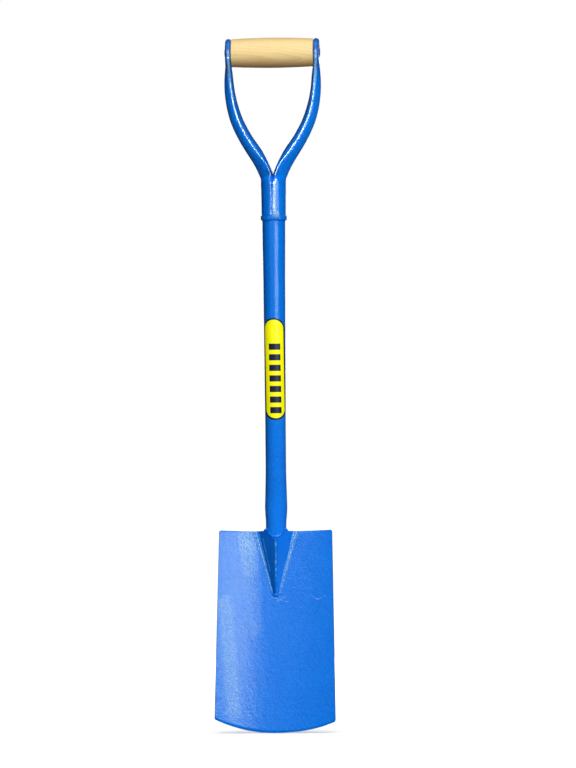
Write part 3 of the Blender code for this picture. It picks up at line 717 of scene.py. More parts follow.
def blade_matrix():
    """From the blade's leaning frame to the world."""
    thickness = setting("blade").thickness
    middle = (EDGE_LEFT - thickness) / 2
    place = Vector((0.0, middle * math.cos(LIFT), thickness / 2 * math.sin(LIFT)))
    return Matrix.Translation(place) @ Matrix.Rotation(-LIFT, 4, "X")


def bend_matrix():
    up = setting("blade").length + BEND_ABOVE_BLADE
    return Matrix.Translation(blade_matrix() @ at(0.0, up, FOOT_OFFSET))


def handle_matrix(rise=0.0):
    return bend_matrix() @ Matrix.Translation((0.0, 0.0, SHAFT_RISE + rise))


def added(name, data):
    """The mesh, light or camera as an object in the scene."""
    made = bpy.data.objects.new(name, data)
    bpy.context.scene.collection.objects.link(made)
    return made


def as_mesh(name, work):
    mesh = bpy.data.meshes.new(name)
    work.to_mesh(mesh)
    work.free()
    return mesh


def smooth(mesh, sharp=SHARP):
    mesh.shade_smooth()
    mesh.set_sharp_from_angle(angle=sharp)


def shown(name, work, place, paint=None):
    """The bmesh as an object at the origin, with its place in its mesh."""
    work.transform(place)
    bmesh.ops.recalc_face_normals(work, faces=work.faces)
    mesh = as_mesh(name, work)
    smooth(mesh)
    if paint is not None:
        mesh.materials.append(paint)
    return added(name, mesh)


def skin(work, rows, looped=False):
    """Faces over rings of verts. The last ring joins the first, or both are closed."""
    for low, high in zip(rows, rows[1:] + rows[: int(looped)]):
        for i in range(len(low)):
            j = (i + 1) % len(low)
            work.faces.new((low[i], low[j], high[j], high[i]))
    if not looped:
        work.faces.new(rows[0])
        work.faces.new(rows[-1])
    return work


def loft(rings, looped=False):
    """A solid through rings with equal numbers of points."""
    work = bmesh.new()
    return skin(work, [[work.verts.new(point) for point in ring] for ring in rings], looped)


def steps(count, low=0.0, high=1.0):
    """Numbers from low to high, evenly apart."""
    return [low + (high - low) * step / (count - 1) for step in range(count)]


def around(sides):
    return [2 * math.pi * step / sides for step in range(sides)]


def turned(profile, axis, sides):
    """Rings of a solid turned about Z or about the grip's X axis, from (run, radius) points."""
    rings = []
    for run, radius in profile:
        if axis == "Z":
            ring = [(radius * math.cos(a), radius * math.sin(a), run) for a in around(sides)]
        else:
            ring = [(run, radius * math.cos(a), radius * math.sin(a)) for a in around(sides)]
        rings.append(ring)
    return rings


def apply_modifiers(piece, helpers=()):
    """Turns the evaluated piece into a plain mesh and removes what shaped it."""
    graph = bpy.context.evaluated_depsgraph_get()
    mesh = bpy.data.meshes.new_from_object(piece.evaluated_get(graph))
    piece.modifiers.clear()
    piece.data = mesh
    mesh.name = piece.name
    for helper in helpers:
        bpy.data.objects.remove(helper)


def cut(piece, cutters):
    for cutter in cutters:
        modifier = piece.modifiers.new(cutter.name, "BOOLEAN")
        modifier.operation = "DIFFERENCE"
        modifier.solver = "EXACT"
        modifier.object = cutter
    apply_modifiers(piece, cutters)
    smooth(piece.data)


def ease_edges(piece, width):
    """Rounds a plate's sharp edges by this much."""
    bevel = piece.modifiers.new("eased_edges", "BEVEL")
    bevel.width = width
    bevel.segments = 2
    bevel.limit_method = "ANGLE"
    bevel.angle_limit = math.radians(40)
    apply_modifiers(piece)
    smooth(piece.data, SHARP_PLATE)


def settle(piece, slot, *nodes):
    """The piece rides on the one body and stands for these CAD nodes, which are hidden. The slot is not
    used.
    """
    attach(piece, BODY)
    if nodes:
        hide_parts(*nodes)


# Geometry trees


def open_tree(name, lengths, density=None, seed=None):
    """A geometry tree's nodes, and a wire from each of its named inputs."""
    tree = bpy.data.node_groups.new(name, "GeometryNodeTree")
    sockets = tree.interface
    sockets.new_socket(name="Geometry", in_out="INPUT", socket_type="NodeSocketGeometry")
    sockets.new_socket(name="Geometry", in_out="OUTPUT", socket_type="NodeSocketGeometry")
    for word, value in lengths.items():
        socket = sockets.new_socket(name=word, in_out="INPUT", socket_type="NodeSocketFloat")
        socket.default_value = value
        socket.subtype = "DISTANCE"
    for word, value, kind in (("Density", density, "NodeSocketFloat"), ("Seed", seed, "NodeSocketInt")):
        if value is not None:
            sockets.new_socket(name=word, in_out="INPUT", socket_type=kind).default_value = value
    sockets.new_socket(name="Paint", in_out="INPUT", socket_type="NodeSocketMaterial")
    nodes = Nodes(tree)
    group = tree.nodes.new("NodeGroupInput")
    return nodes, {socket.name: Wire(nodes, socket) for socket in group.outputs if socket.name}


def close_tree(nodes, size, geometry):
    """Ends the tree in plain geometry with its paint on."""
    plain = nodes.node("GeometryNodeRealizeInstances", None, {"Geometry": geometry})
    coated = nodes.node("GeometryNodeSetMaterial", None, {"Geometry": plain, "Material": size["Paint"]})
    end = nodes.tree.nodes.new("NodeGroupOutput")
    nodes.tree.links.new(coated.socket, end.inputs[0])
    return nodes.tree


def run_tree(piece, tree, values):
    """Sets the tree's inputs by their identifiers and lets it shape the piece."""
    modifier = piece.modifiers.new(tree.name, "NODES")
    modifier.node_group = tree
    for item in tree.interface.items_tree:
        if item.item_type == "SOCKET" and item.in_out == "INPUT" and item.name in values:
            modifier[item.identifier] = values[item.name]
    apply_modifiers(piece)


# Blade and ridge plate


def blade_tree():
    """Geometry nodes that press, dish and grind a plate from its sizes."""
    blade = setting("blade")
    nodes, size = open_tree("dished_plate", {
        "Length": blade.length, "Top Width": blade.top_width, "Foot Width": blade.foot_width,
        "Thickness": blade.thickness, "Dish Radius": blade.dish_radius, "Edge Radius": EDGE_RADIUS,
        "Foot Corner": FOOT_CORNER, "Top Corner": TOP_CORNER,
        "Grind Height": GRIND_HEIGHT, "Ground Edge": GRIND_LEFT, "Low Side": EDGE_LOW_SIDE,
    })
    grid = {"Size": (2.0, 2.0, 2.0), "Vertices X": 97, "Vertices Y": 121, "Vertices Z": 3}
    block = nodes.node("GeometryNodeMeshCube", None, grid)
    across, up, layer = nodes.split(nodes.node("GeometryNodeInputPosition"))
    side = across.sign()
    straight = 0.90
    along = (across.size() / straight).least(1.0)
    corner = ((across.size() - straight) / (1.0 - straight)).most(0.0)
    row = ((up + 1.0) * 0.5) ** 1.4
    inside = size["Edge Radius"] - size["Foot Corner"]
    end = ((size["Foot Width"] * 0.5 - size["Foot Corner"]) / inside).arcsine()
    foot_turn = end * along
    corner_turn = foot_turn + (math.pi / 2 - end) * corner
    foot_across = inside * foot_turn.sine() + size["Foot Corner"] * corner_turn.sine()
    foot_up = size["Edge Radius"] - inside * foot_turn.cosine() - size["Foot Corner"] * corner_turn.cosine()
    to_right = ((foot_across * side) / (size["Foot Width"] * 0.5) - 0.25).most(0.0) / 0.75
    foot_up = foot_up - size["Low Side"] * to_right
    reach = size["Top Width"] * 0.5 - size["Top Corner"]
    top_turn = corner * (math.pi / 2)
    top_across = reach * along + size["Top Corner"] * top_turn.sine()
    top_up = size["Length"] - size["Top Corner"] * (1.0 - top_turn.cosine())
    flat_across = (foot_across + (top_across - foot_across) * row) * side
    above_edge = size["Length"] * row
    ground = (1.0 - above_edge / size["Grind Height"]).most(0.0)
    front = layer.ramp(-1.0, 1.0)
    depth = size["Thickness"] * (front - 0.5) - (size["Thickness"] - size["Ground Edge"]) * ground * front
    turn = flat_across / size["Dish Radius"]
    radius = size["Dish Radius"] - depth
    place = nodes.node("ShaderNodeCombineXYZ", None, {
        0: radius * turn.sine(),
        1: radius * turn.cosine() - size["Dish Radius"],
        2: foot_up + (top_up - foot_up) * row,
    })
    pressed = nodes.node("GeometryNodeSetPosition", None, {"Geometry": block, "Position": place})
    marked = nodes.node(
        "GeometryNodeStoreNamedAttribute", {"data_type": "FLOAT", "domain": "POINT"},
        {"Geometry": pressed, "Name": "rise", "Value": above_edge},
    )
    return close_tree(nodes, size, marked)


def blade_face(u):
    """How far out the blade's front stands at u."""
    blade = setting("blade")
    return blade.dish_radius - math.sqrt((blade.dish_radius - blade.thickness / 2) ** 2 - u**2)


def ridge_toe():
    return setting("blade").length - RIDGE_LENGTH


def ridge_share(v):
    return (v - ridge_toe()) / RIDGE_LENGTH


def ridge_half(v):
    return RIDGE_TOE_HALF + (RIDGE_TOP_HALF - RIDGE_TOE_HALF) * ridge_share(v)


def ridge_face(u, v):
    """How far out the ridge plate's front stands: level with the blade at its sides, rounded at its fold."""
    fold = setting("blade").fold
    half = ridge_half(v)
    crest = RIDGE_TOE_CREST + (RIDGE_TOP_CREST - RIDGE_TOE_CREST) * ridge_share(v)
    fall = (math.hypot(u, fold) - fold) / (math.hypot(half, fold) - fold)
    return crest + (blade_face(half) - crest) * fall


def front_face(u, v):
    return ridge_face(u, v) if abs(u) < ridge_half(v) else blade_face(u)


def notch_cutter():
    blade = setting("blade")
    above, toe = blade.length + 4 * blade.thickness, ridge_toe() - NOTCH_GAP
    wide, narrow = ridge_half(above) + NOTCH_GAP, ridge_half(toe) + NOTCH_GAP
    outline = ((-narrow, toe), (narrow, toe), (wide, above), (-wide, above))
    rings = [[at(u, v, w) for u, v in outline] for w in (-RIDGE_TOP_HALF, RIDGE_TOP_HALF)]
    return shown("notch_cutter", loft(rings), blade_matrix())


def make_blade(paint):
    piece = added("blade_plate", bpy.data.meshes.new("blade_plate"))
    run_tree(piece, blade_tree(), {"Paint": paint})
    piece.data.transform(blade_matrix())
    cut(piece, [notch_cutter()])
    ease_edges(piece, BLADE_EASING)
    settle(piece, "paint", "blade")


def ridge_work(grow=0.0, rows=62, columns=28):
    thickness = setting("blade").thickness
    low, high = ridge_toe() - grow, setting("blade").length + grow
    shares = [(step / columns) ** 1.35 for step in range(columns + 1)]
    shares = [-share for share in reversed(shares[1:])] + shares
    rings = []
    for v in steps(rows, low, high):
        across = [(ridge_half(v) + grow) * share for share in shares]
        ring = [at(u, v, ridge_face(u, v) + grow) for u in across]
        ring += [at(u, v, ridge_face(u, v) - thickness - grow) for u in reversed(across)]
        rings.append(ring)
    return loft(rings)


def make_ridge(paint):
    piece = shown("ridge_fold", ridge_work(), blade_matrix(), paint)
    ease_edges(piece, RIDGE_EASING)
    settle(piece, "paint", "ridge_plate")


# Shaft


def shaft_point(distance):
    """Middle of the tube this far past the bend's corner, and its direction there, in the bend's frame."""
    up_blade = Vector((0.0, math.sin(LIFT), math.cos(LIFT)))
    out_of_face = Vector((0.0, -math.cos(LIFT), math.sin(LIFT)))
    reach = BEND_RADIUS * math.tan(LIFT / 2)
    if distance <= -reach:
        return up_blade * distance, up_blade
    if distance >= reach:
        return Vector((0.0, 0.0, distance)), Vector((0.0, 0.0, 1.0))
    turned_by = LIFT * (distance + reach) / (2 * reach)
    ahead = BEND_RADIUS * math.sin(turned_by) - reach
    aside = BEND_RADIUS * (1 - math.cos(turned_by))
    direction = up_blade * math.cos(turned_by) + out_of_face * math.sin(turned_by)
    return up_blade * ahead + out_of_face * aside, direction


def shaft_table():
    """Distance past the bend, half width and half depth of the tube, up to its top."""
    tail = -BEND_ABOVE_BLADE - TAIL_BELOW_TOP - FOOT_RADIUS / 4
    rows = [(tail, FOOT_RADIUS, FOOT_RADIUS)]
    for distance, wider, deeper in SWELL:
        rows.append((distance, FOOT_RADIUS + wider, FOOT_RADIUS + deeper))
    for rise, share in TAPER:
        radius = FOOT_RADIUS + (SHAFT_TOP_RADIUS - FOOT_RADIUS) * share
        rows.append((SHAFT_RISE * rise, radius, radius))
    return rows


def eased(table, passes):
    """The table with more rows, on a smooth curve through them."""
    for _ in range(passes):
        padded = [table[0], *table, table[-1]]
        fine = []
        for before, low, high, after in zip(padded, padded[1:], padded[2:], padded[3:]):
            fine.append(low)
            fine.append(tuple((9 * (b + c) - a - d) / 16 for a, b, c, d in zip(before, low, high, after)))
        fine.append(table[-1])
        table = fine
    return table


def shaft_half_width(distance):
    table = shaft_table()
    return float(np.interp(distance, [row[0] for row in table], [row[1] for row in table]))


def shaft_rings(shrink=0.0, sides=96):
    rows = eased(shaft_table(), 2)
    rows.append((SHAFT_RISE - COLLAR_HEIGHT / 4, SPIGOT_RADIUS, SPIGOT_RADIUS))
    rows.append((SHAFT_RISE + SPIGOT_LENGTH, SPIGOT_RADIUS, SPIGOT_RADIUS))
    if shrink:
        rows[0] = (rows[0][0] - shrink, *rows[0][1:])
        rows[-1] = (rows[-1][0] + shrink, *rows[-1][1:])
    rings = []
    for distance, half_width, half_depth in rows:
        middle, direction = shaft_point(distance)
        across = Vector((half_width - shrink, 0.0, 0.0))
        forward = Vector((1.0, 0.0, 0.0)).cross(direction) * (half_depth - shrink)
        rings.append([middle + across * math.cos(a) + forward * math.sin(a) for a in around(sides)])
    return rings


def foot_trim():
    """A prism over what is cut from the tube's foot: a sloped lip in front and a scarfed tail behind."""
    blade = setting("blade")
    lip = blade.length - LIP_BELOW_TOP
    tail = blade.length - TAIL_BELOW_TOP
    front = FOOT_OFFSET + FOOT_RADIUS
    beside = FOOT_RADIUS - SHAFT_WALL / 2
    plate_top = ridge_face(beside, blade.length) - blade.thickness / 2
    plate_tail = ridge_face(beside, tail) - blade.thickness / 2
    clear = 1.5 * FOOT_RADIUS
    outline = (
        (front + clear, lip - LIP_SLOPE * clear),
        (plate_top, min(lip + LIP_SLOPE * (front - plate_top), blade.length)),
        (plate_tail, tail),
        (plate_tail - 2 * clear, tail + TAIL_SLOPE * 2 * clear),
        (plate_tail - 2 * clear, tail - 2 * FOOT_RADIUS),
        (front + clear, tail - 2 * FOOT_RADIUS),
    )
    rings = [[at(u, v, w) for w, v in outline] for u in (-clear, clear)]
    return shown("foot_trim", loft(rings), blade_matrix())


def make_shaft(paint):
    piece = shown("shaft_tube", loft(shaft_rings()), bend_matrix(), paint)
    bore = shown("shaft_bore", loft(shaft_rings(SHAFT_WALL)), bend_matrix())
    room = shown("ridge_room", ridge_work(grow=GAP, rows=24, columns=14), blade_matrix())
    cut(piece, [bore, room, foot_trim()])
    settle(piece, "paint", "shaft")


# Handle


def smooth_most(first, second, soft):
    """The greater of two arrays, rounded where they cross."""
    near = np.maximum(soft - np.abs(first - second), 0.0) / soft
    return np.maximum(first, second) + near * near * soft / 4


def smooth_step(value, low, high):
    share = min(max((value - low) / (high - low), 0.0), 1.0)
    return share * share * (3 - 2 * share)


class ArmShape:
    """The right half of the handle as a distance field: less than 0 inside the steel."""

    def __init__(self, seam_width):
        table = eased(list(ARM), 3)
        self.rises = [row[0] for row in table]
        self.rows = list(zip(*table))[1:]
        self.seam = seam_width / 2

    def station(self, rise):
        """An arm's offset, width and depth at this height."""
        return [float(np.interp(rise, self.rises, row)) for row in self.rows]

    def lean(self, rise):
        step = 0.002
        ahead = self.station(rise + step)[0] - self.station(rise - step)[0]
        return math.atan2(ahead, 2 * step) * smooth_step(rise, *ARM_LEANS)

    def socket(self, x, y, rise):
        """Half of the rolled socket: round outside, with its inner edge turned in at the front seam."""
        radius = SOCKET_RADIUS + 0.0006 * smooth_step(rise, *SOCKET_SWELLS)
        past_slot = np.maximum(y + radius - SEAM_DEPTH, 0.0)
        inner = np.maximum(self.seam - 0.8 * past_slot, -0.004)
        soft = 0.0012 + 0.0030 * smooth_step(rise, *SEAM_SOFTENS)
        return smooth_most(np.hypot(x, y) - radius, inner - x, soft)

    def ear(self, x, y, rise):
        flat = np.abs(x - EAR_MIDDLE) - EAR_THICK / 2
        rim = np.hypot(y, rise - GRIP_RISE) - EAR_RADIUS
        return smooth_most(flat, rim, np.where(x > EAR_MIDDLE, EAR_ROUNDING[1], EAR_ROUNDING[0]))

    def crests(self, rise):
        """How far the arm's crest leans inwards here, and its share of the fork's shape."""
        rising = smooth_step(rise, *SOCKET_TO_ARM)
        fork = rising * (1.0 - smooth_step(rise, *FORK_TO_ARM))
        crest = ARM_CREST * smooth_step(rise, *CREST_GROWS) * (1.0 - smooth_step(rise, *CREST_FADES))
        if fork:
            crest = max(crest, (ARM_CREST + FORK_CREST * fork) * rising)
        return crest, fork

    def ring(self, rise, turns):
        """One ring of points, found by halving along each ray from its centre."""
        offset, width, depth = self.station(rise)
        lean = self.lean(rise)
        half_width, half_depth = width / 2, depth / 2
        chord = math.sqrt(max(EAR_RADIUS**2 - (rise - GRIP_RISE) ** 2, 0.0))
        if rise > GRIP_RISE:
            half_width, half_depth = EAR_THICK / 2, max(chord, 0.0004)
        elif chord > 0.0:
            half_width, half_depth = max(half_width, EAR_THICK / 2), max(half_depth, chord)
        ray_across, ray_back = half_width * np.cos(turns), half_depth * np.sin(turns)
        crest, fork = self.crests(rise)
        inner_width = width * (1.0 + 0.12 * crest - 0.22 * fork)
        power = 2.0 - 0.9 * crest

        def distance(p, q):
            x = offset + p * math.cos(lean)
            aside = p + crest * (np.sqrt(q**2 + CREST_ROUNDING**2) - CREST_ROUNDING)
            aside = np.abs(aside) * 2 / np.where(aside < 0.0, inner_width, width)
            oval = (aside**power + np.abs(q * 2 / depth) ** power) ** (1 / power)
            oval = (oval - 1.0) * min(width, depth) / 2
            if rise < ONLY_ARM[0]:
                share = smooth_step(rise, *SOCKET_TO_ARM)
                return self.socket(x, q, rise) * (1 - share) + oval * share
            if rise < ONLY_ARM[1]:
                return oval
            oval = oval + 0.012 * smooth_step(rise, *ARM_ENDS)
            return -smooth_most(-oval, -self.ear(x, q, rise - p * math.sin(lean)), 0.0016)

        low, high = np.zeros(len(turns)), np.full(len(turns), 2.2)
        for _ in range(22):
            middle = (low + high) / 2
            inside = distance(ray_across * middle, ray_back * middle) < 0.0
            low, high = np.where(inside, middle, low), np.where(inside, high, middle)
        p, q = ray_across * low, ray_back * low
        points = zip(offset + p * math.cos(lean), q, rise - p * math.sin(lean))
        return [Vector(tuple(map(float, point))) for point in points]


def arm_rises():
    """Heights of the rings: close together at the crotch and at the ear."""
    rises = [0.0, 0.0004]
    for low, high, count in (
        (0.0012, 0.040, 15), (0.0415, 0.078, 30), (0.0795, 0.205, 66), (0.2065, GRIP_RISE, 34),
    ):
        rises += list(np.linspace(low, high, count))
    rises += [GRIP_RISE + EAR_RADIUS * math.sin(turn) for turn in np.linspace(0.06, math.pi / 2 - 0.012, 26)]
    return [float(rise) for rise in rises]


def arm_turns():
    """Directions of a ring's points: close together where the seam lies."""
    seam, window = math.radians(237), math.radians(16)
    turns = list(np.linspace(seam - window, seam + window, 45))
    turns += list(np.linspace(seam + window, seam + 2 * math.pi - window, 96))[1:-1]
    return np.array(turns)


def shifted_seam(point, offset):
    """Moves the front seam aside, below the crotch only."""
    if point.z > CROTCH_RISE or point.y > 0.0:
        return point
    near = 1.0 - smooth_step(abs(point.x), 0.001, 0.012)
    share = near * (1.0 - smooth_step(point.z, *SEAM_ENDS)) * smooth_step(-point.y, 0.004, 0.012)
    return Vector((point.x + offset * share, point.y, point.z))


def handle_work(settings):
    """The right half up to the middle plane, joined to its mirror image."""
    shape = ArmShape(settings.seam_width)
    turns = arm_turns()
    half = loft([shape.ring(rise, turns) for rise in arm_rises()])
    bmesh.ops.recalc_face_normals(half, faces=half.faces)
    everything = half.verts[:] + half.edges[:] + half.faces[:]
    bmesh.ops.bisect_plane(half, geom=everything, plane_co=(0, 0, 0), plane_no=(1, 0, 0), clear_inner=True)
    copy = bmesh.ops.duplicate(half, geom=half.verts[:] + half.edges[:] + half.faces[:])["geom"]
    for vert in (item for item in copy if isinstance(item, bmesh.types.BMVert)):
        vert.co.x = -vert.co.x
    bmesh.ops.reverse_faces(half, faces=[item for item in copy if isinstance(item, bmesh.types.BMFace)])
    bmesh.ops.remove_doubles(half, verts=half.verts, dist=1e-6)
    for vert in half.verts:
        vert.co = shifted_seam(vert.co, settings.seam_offset)
    return half


def make_handle(paint):
    work = handle_work(setting("handle"))
    piece = shown("handle_pressing", work, handle_matrix(), paint)
    room = EAR_RADIUS + EAR_ROOM
    bar = loft(turned([(-EAR_INSIDE, room), (EAR_INSIDE, room)], "X", 96))
    bore = SPIGOT_RADIUS + GAP
    depth = SOCKET_BORE_DEPTH
    hole = loft(turned([(-0.01, bore), (depth, bore), (depth + BORE_TIP, bore * 0.8)], "Z", 64))
    grip_room = shown("grip_room", bar, handle_matrix(GRIP_RISE))
    cut(piece, [grip_room, shown("socket_bore", hole, handle_matrix())])
    settle(piece, "paint", "handle")


def make_grip(wood, end_rows=5, rows=60):
    settings = setting("handle")
    half = settings.grip_length / 2
    profile = []
    for turn in steps(end_rows + 1, 0.0, math.pi / 2):
        run = GRIP_ROUNDING - half - GRIP_ROUNDING * math.cos(turn)
        profile.append((run, GRIP_END_RADIUS - GRIP_ROUNDING + GRIP_ROUNDING * math.sin(turn)))
    rounded = profile[:]
    for share in steps(rows + 1, -1.0, 1.0)[1:-1]:
        run = (half - GRIP_ROUNDING) * share
        bulge = 1 - (run / half) ** 2
        profile.append((run, GRIP_END_RADIUS + (settings.grip_belly - GRIP_END_RADIUS) * bulge))
    profile += [(-run, radius) for run, radius in reversed(rounded)]
    profile += [(half, RIVET_RADIUS + GAP), (-half, RIVET_RADIUS + GAP)]
    work = loft(turned(profile, "X", 128), looped=True)
    settle(shown("turned_grip", work, handle_matrix(GRIP_RISE), wood), "wood", "grip")


def make_rivet(paint, rows=13):
    seat = EAR_INSIDE + EAR_THICK + GAP
    right = [(seat, RIVET_RADIUS), (seat, RIVET_HEAD_RADIUS - 0.0003), (seat + 0.0002, RIVET_HEAD_RADIUS)]
    for turn in steps(rows + 1, 0.0, math.pi / 2)[1:-1]:
        rise = RIVET_HEAD_HEIGHT * (0.2 + 0.8 * math.sin(turn))
        right.append((seat + rise, RIVET_HEAD_RADIUS * math.cos(turn) ** 0.8))
    profile = [(-run, radius) for run, radius in reversed(right)] + right
    work = loft(turned(profile, "X", 48))
    settle(shown("grip_rivet", work, handle_matrix(GRIP_RISE), paint), "paint", "rivet")


# Label


def make_label(film, rows=150, columns=40):
    """A thin strip with round ends, laid a little askew round the front of the shaft."""
    settings = setting("handle")
    length, width = settings.label_length, settings.label_width
    round_end = width / 2
    straight = length / 2 - round_end
    work = bmesh.new()
    layers = {name: work.verts.layers.float.new(name) for name in ("inset", "run", "side")}
    grid = {}
    for row in range(rows + 1):
        run = math.cos(math.pi * (1 - row / rows)) * 0.5 + (2 * row / rows - 1) * 0.5
        run = run * (length / 2 - 0.00015)
        past = max(abs(run) - straight, 0.0)
        half = math.sqrt(round_end**2 - past**2)
        inside = shaft_half_width(LABEL_MIDDLE + run) + GAP
        skew = LABEL_SKEW * run / length * 2
        for column in range(columns + 1):
            side = half * (2 * column / columns - 1)
            edge = round_end - math.hypot(side, past) if past else round_end - abs(side)
            angle = side / inside + LABEL_ASIDE - skew
            for layer, radius in (("out", inside + LABEL_THICK), ("in", inside)):
                place = (radius * math.sin(angle), -radius * math.cos(angle), LABEL_MIDDLE + run)
                vert = work.verts.new(place)
                vert[layers["inset"]] = max(edge, 0.0)
                vert[layers["run"]] = run
                vert[layers["side"]] = side
                grid[layer, row, column] = vert
    for row in range(rows):
        for column in range(columns):
            spots = ((row, column), (row, column + 1), (row + 1, column + 1), (row + 1, column))
            for layer in ("out", "in"):
                work.faces.new([grid[layer, r, c] for r, c in spots])
    rim = [(0, column) for column in range(columns + 1)]
    rim += [(row, columns) for row in range(1, rows + 1)]
    rim += [(rows, column) for column in range(columns - 1, -1, -1)]
    rim += [(row, 0) for row in range(rows - 1, 0, -1)]
    for first, second in zip(rim, rim[1:] + rim[:1]):
        corners = (("out", *first), ("out", *second), ("in", *second), ("in", *first))
        work.faces.new([grid[corner] for corner in corners])
    settle(shown("label_film", work, bend_matrix(), film), "label", "label")


# Welds


def ripple_tree():
    """Geometry nodes that lay ripples and lumps on a smooth bead, read from its own lengths."""
    welds = setting("welds")
    nodes, size = open_tree("weld_ripples", {
        "Ripple Pitch": welds.ripple_pitch, "Ripple Height": welds.ripple_height,
        "Lump Size": LUMP_SIZE, "Lump Height": welds.lump_height,
    }, seed=welds.seed)
    along, across, crown = (
        nodes.node("GeometryNodeInputNamedAttribute", {"data_type": "FLOAT"}, {"Name": name})
        for name in ("along", "across", "crown")
    )
    place = nodes.node("GeometryNodeInputPosition")

    def uneven(seed, scale, detail):
        sockets = {"Vector": place, "W": seed, "Scale": scale, "Detail": detail}
        return nodes.node("ShaderNodeTexNoise", {"noise_dimensions": "4D"}, sockets)

    wander = uneven(size["Seed"], 140.0, 1.0)
    lumps = uneven(size["Seed"] + 7.3, 1.0 / size["Lump Size"], 3.0)
    phase = along / size["Ripple Pitch"] + across * across * 0.55 + wander * 2.6
    wave = phase.fraction() * 2.0 - 1.0
    ripple = 1.0 - wave * wave
    lift = (ripple - 0.55) * size["Ripple Height"] + (lumps - 0.5) * 2.0 * size["Lump Height"]
    sockets = {0: nodes.node("GeometryNodeInputNormal"), "Scale": lift * crown}
    push = nodes.node("ShaderNodeVectorMath", {"operation": "SCALE"}, sockets)
    moved = nodes.node("GeometryNodeSetPosition", None, {"Geometry": size["Geometry"], "Offset": push})
    return close_tree(nodes, size, moved)


def bead(name, rings, place, values, tree, *nodes, looped=False):
    """A weld from rings of (point, across, crown) and the length along it, rippled by the tree."""
    work = bmesh.new()
    layers = [work.verts.layers.float.new(word) for word in ("along", "across", "crown")]
    rows = []
    for along, ring in rings:
        row = []
        for point, across, crown in ring:
            vert = work.verts.new(point)
            for layer, value in zip(layers, (along, across, crown)):
                vert[layer] = value
            row.append(vert)
        rows.append(row)
    piece = shown(name, skin(work, rows, looped), place)
    run_tree(piece, tree, values)
    smooth(piece.data, SHARP_WELD)
    settle(piece, "weld_paint", *nodes)


def fading(share, power):
    """1 along the middle of a bead and 0 at its ends, where share is -1 and 1."""
    return math.sqrt(max(1 - abs(share) ** power, 0.0))


def collar_rings(sides=300, spots=19):
    """The ring where the shaft goes into the socket, full at the middle of its height."""
    inside = SHAFT_TOP_RADIUS + GAP
    outside = SOCKET_RADIUS + COLLAR_CROWN
    ring = [(inside, -COLLAR_HEIGHT - GAP, 0.0, 0.0), (inside, -GAP, 0.0, 0.0)]
    for share in steps(spots):
        bulge = fading(2 * share - 1, 2.4)
        foot = inside + 0.0010 - 0.0009 * share
        full = 0.25 + 0.75 * bulge if share < 0.5 else bulge
        ring.append((foot + (outside - foot) * full, -GAP - COLLAR_HEIGHT * share, 2 * share - 1, bulge))
    rings = []
    for turn in around(sides):
        points = []
        for radius, height, across, crown in ring:
            point = Vector((radius * math.sin(turn), -radius * math.cos(turn), height))
            points.append((point, across, crown))
        rings.append((turn * outside, points))
    return rings


def laid_ring(spots, place, rise):
    """A ring of a bead that lies flat: across its underside, then back over its crown."""
    ring = []
    for across in steps(spots, 1.0, -1.0):
        ring.append((place(across, 0.0), across, 0.0))
    for across in steps(spots, -1.0, 1.0)[1:-1]:
        ring.append((place(across, rise(across)), across, rise(across)))
    return ring


def weld_profile(share, side, across):
    """Height of a ridge weld: a crest over the joint, thin skirts, and a raised rim on its upper edges."""
    crest = math.sqrt(max(1 - (across / 0.36) ** 2, 0.0))
    skirt = 0.16 * fading(across, 4)
    outer = smooth_step(share, 0.66, 0.78) if across > 0 else smooth_step(share, 0.30, 0.42)
    if side > 0:
        outer = smooth_step(share, 0.56, 0.68) if across > 0 else 0.0
    rim = 0.42 * outer * math.sqrt(max(1 - ((abs(across) - 0.84) / 0.15) ** 2, 0.0))
    return max(crest, skirt, rim)


def ridge_weld_rings(side, rows=300, spots=33):
    low = ridge_toe() + 3 * GAP
    high = setting("blade").length - 2 * GAP
    rings = []
    for share in steps(rows):
        v = low + (high - low) * share
        reach = RIDGE_WELD_REACH * (0.30 + 0.70 * share)
        crown = RIDGE_WELD_CROWN * (0.55 + 0.45 * share)

        def place(across, rise):
            u = ridge_half(v) + GAP / 2 + reach * across
            return at(side * u, v, front_face(u, v) + GAP + crown * rise)

        rings.append((v, laid_ring(spots, place, partial(weld_profile, share, side))))
    return rings


def toe_weld_rings(rows=26, spots=27):
    rings = []
    for along in steps(rows):
        v = ridge_toe() - GAP - TOE_WELD_LENGTH * along
        fade = fading(along, 2.6)
        half = TOE_WELD_HALF * (0.35 + 0.65 * fade)

        def place(across, rise):
            u = half * across
            return at(u, v, blade_face(u) + GAP + TOE_WELD_CROWN * rise)

        def crown(across):
            return (1 - across * across) * (0.15 + 0.85 * fade)

        rings.append((v, laid_ring(spots, place, crown)))
    return rings


def foot_weld_rings(side, rows=44, spots=14):
    near = FOOT_RADIUS + GAP
    blade = setting("blade")
    plate = ridge_face(near, blade.length) - blade.thickness / 2 - FOOT_OFFSET
    aim = math.asin(plate / near)
    corner = [(0.0, 0.0, 0.0, 0.0)]
    for across, turn in zip(steps(spots, -1.0, 1.0), steps(spots, 0.0, math.pi / 2)):
        out, up = max(math.cos(turn), 0.0) ** 1.2, math.sin(turn) ** 1.2
        corner.append((out, up, across, max(math.sin(2 * turn), 0.0) ** 0.5))
    rings = []
    for share in steps(rows, -1.0, 1.0):
        leg = FOOT_WELD_LEG * (0.3 + 0.7 * fading(share, 3))
        angle = aim + FOOT_WELD_TURN * share
        ring = []
        for out, up, across, crown in corner:
            radius = near + leg * out
            w = FOOT_OFFSET + radius * math.sin(angle)
            point = at(side * radius * math.cos(angle), blade.length + GAP + leg * up, w)
            ring.append((point, across, crown))
        rings.append((angle * near, ring))
    return rings


